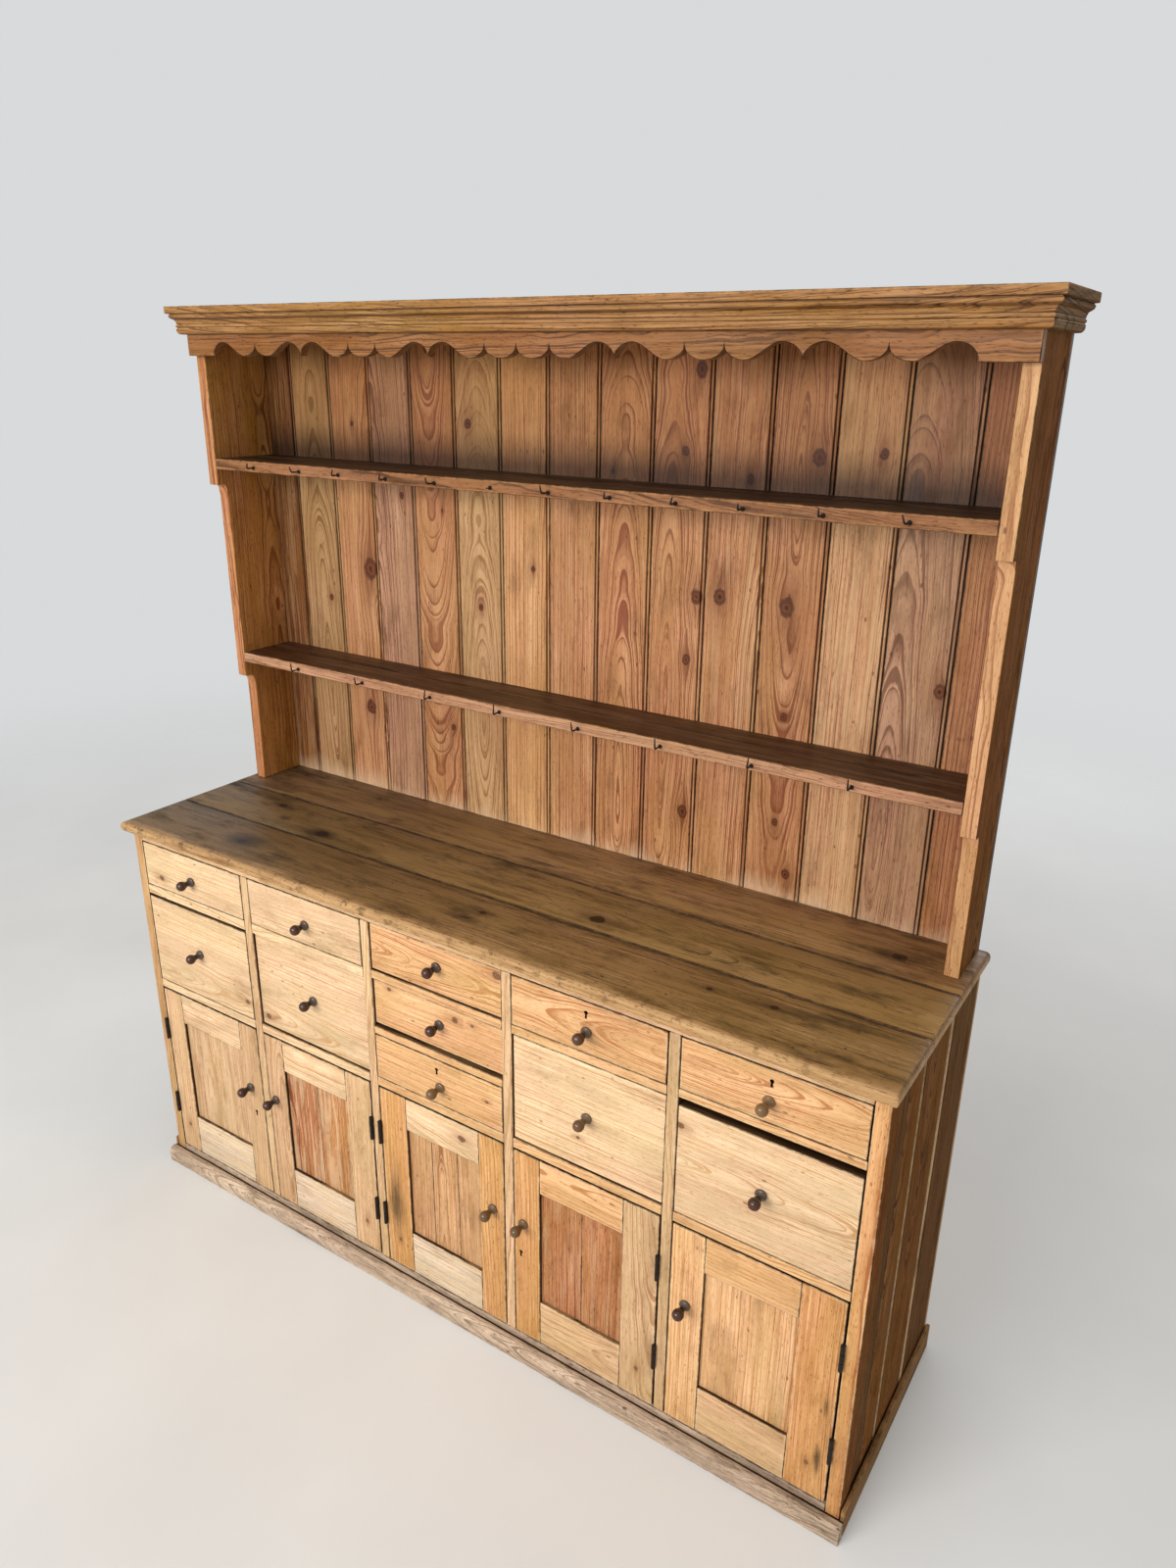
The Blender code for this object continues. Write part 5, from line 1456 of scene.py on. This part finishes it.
def scallop_rise(pair, share):
    """The height of the edge between two turning points, at a share of the way from the first."""
    if pair in ("CL", "LC"):
        from_lobe = share if pair == "LC" else 1 - share
        return CUSP_RISE * (1 - math.sqrt(1 - from_lobe**2))
    if pair in ("AP", "PA"):
        from_arch = share if pair == "AP" else 1 - share
        return ARCH_RISE * math.sqrt(1 - from_arch**2)
    swing = (1 - math.cos(math.pi * share)) / 2
    return ARCH_RISE * (swing if pair == "LA" else 1 - swing)


def scallop_half():
    """The lower edge of the frieze from its middle to its right end, above its flat bottom."""
    points = [(0.0, CUSP_RISE)]
    for first, second in zip(SCALLOP_ORDER[:-1], SCALLOP_ORDER[1:]):
        start = points[-1][0]
        width = SCALLOP_WIDTHS["".join(sorted(first + second))]
        for step in range(1, SCALLOP_STEPS + 1):
            share = (1 - math.cos(math.pi * step / SCALLOP_STEPS)) / 2
            points.append((start + width * share, scallop_rise(first + second, share)))
    return points + arc((points[-1][0], 0), (FLAT_FROM_ARCH, ARCH_RISE), 90, 0, 6)[1:]


def frieze():
    low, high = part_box("frieze")
    right = [(x, FRIEZE_LOW + rise) for x, rise in scallop_half()]
    left = [(-x, z) for x, z in reversed(right[1:])]
    outline = [(-RACK_SIDE, FRIEZE_TOP), (-RACK_SIDE, FRIEZE_LOW), *left, *right]
    outline += [(RACK_SIDE, FRIEZE_LOW), (RACK_SIDE, FRIEZE_TOP)]
    bench = Bench("frieze_board")

    # The frieze's dark chestnut is partly painted shade for the lesser light at the top of the rack, its cut
    # edges take a darker wood as painted shade, and its eased front arrises a dark wood that is partly dirt
    # and partly painted shade
    def frieze_faces(normal, centre):
        if -0.9 < normal.y < -0.2:
            return "grime", "rack"
        return ("chestnut" if abs(normal.y) > 0.9 else "shade"), "rack"

    board = drawn(outline, low.y, high.y, "Y", 0.0013)
    bench.lay(board, "X", "chestnut", "rack", worn=0.1, sawn=(0.01, 0.03, 0.02), faces=frieze_faces)
    bench.make("carcass", "rack_pine", "frieze")


def cornice_profile():
    """From its foot: a large bead, a small bead, a fillet, a cove, an ovolo, a groove and a square top."""
    corner = CORNICE_REACH - 0.001
    return [
        (0, 0), (0.004, 0), *arc((0.006, 0.008), (0.0070, 0.0080), -70, 20, 8),
        (0.0110, 0.0125), *arc((0.011, 0.0155), (0.0025, 0.0025), -60, 60, 6),
        (0.0110, 0.0190), (0.0122, 0.0200), (0.0122, 0.0225),
        *arc((0.0185, 0.0225), (0.0055, 0.0060), 170, 100, 6),
        *arc((0.0178, 0.0345), (0.0043, 0.0050), -60, 20, 6),
        (0.0200, 0.0370), (0.0200, 0.0380), (corner, 0.0385), (CORNICE_REACH, 0.0395),
        (CORNICE_REACH, CORNICE_HEIGHT - 0.001), (corner, CORNICE_HEIGHT), (0, CORNICE_HEIGHT),
    ]


def moulding(mitres, length, place, quarter):
    """A length of the cornice. A mitre of 1 cuts an end at 45 degrees, and 0 leaves it square."""
    form = drawn([(-reach, height) for reach, height in cornice_profile()], 0, length, "X")
    for vert in form.verts:
        vert.co.x += -mitres[1] * vert.co.y if vert.co.x > length / 2 else mitres[0] * vert.co.y
    turned = Matrix.Translation(place) @ Matrix.Rotation(quarter * math.pi / 2, 4, "Z")
    bmesh.ops.transform(form, matrix=turned, verts=form.verts)
    return form


def cornice():
    """A front length and two returns, mitred where they meet."""
    low = CORNICE_TOP - CORNICE_HEIGHT
    front = RACK_FRONT - GAP - FRIEZE - GAP
    side = RACK_SIDE + GAP
    depth = BACK - front - 2 * GAP
    # The cornice's woods are dark, partly painted shade for the lesser light at the top; the right return's
    # is partly dust and partly painted shade
    lengths = {
        "front": (((1, 1), 2 * side, (-side, front, low), 0), "X", "gold", "rack"),
        "right": (((1, 0), depth, (side, front + 2 * GAP, low), 1), "Y", "dusty", "side"),
        "left": (((0, 1), depth, (-side, BACK, low), -1), "Y", "gold", "side"),
    }
    for name, (cut, grain, wood, finish) in lengths.items():
        bench = Bench(f"cornice_{name}_length")

        # Faces that look down are darker, as painted shade, and faces that look up are paler, as painted
        # highlight
        def moulding_faces(normal, centre):
            if normal.z < -0.7:
                return "walnut", finish
            if 0.3 < normal.z < 0.95:
                return ("bleached" if name == "right" else "tan"), finish
            return None

        bench.lay(moulding(*cut), grain, wood, finish, worn=0.1, faces=moulding_faces)
        bench.make("carcass", "rack_pine", f"cornice_{name}")


set_camera()
set_stage()
for way in (-1, 1):
    end_board(way)
    rack_end(way)
for number in range(1, BAYS):
    partition(number)
carcass_rails()
plinth()
worktop()
for bay in range(1, BAYS + 1):
    for level, rail in bay_levels(bay).items():
        drawer(bay, level, rail)
    door(bay)
boarded_back("rack_back_boards", "rack_back", "back", BACK_BOARDS)
boarded_back("base_back_boards", "base_back", "bare", [("bare", 0.1, None, [])])
for shelf in ("lower", "upper"):
    rack_shelf(shelf)
rack_top()
frieze()
cornice()
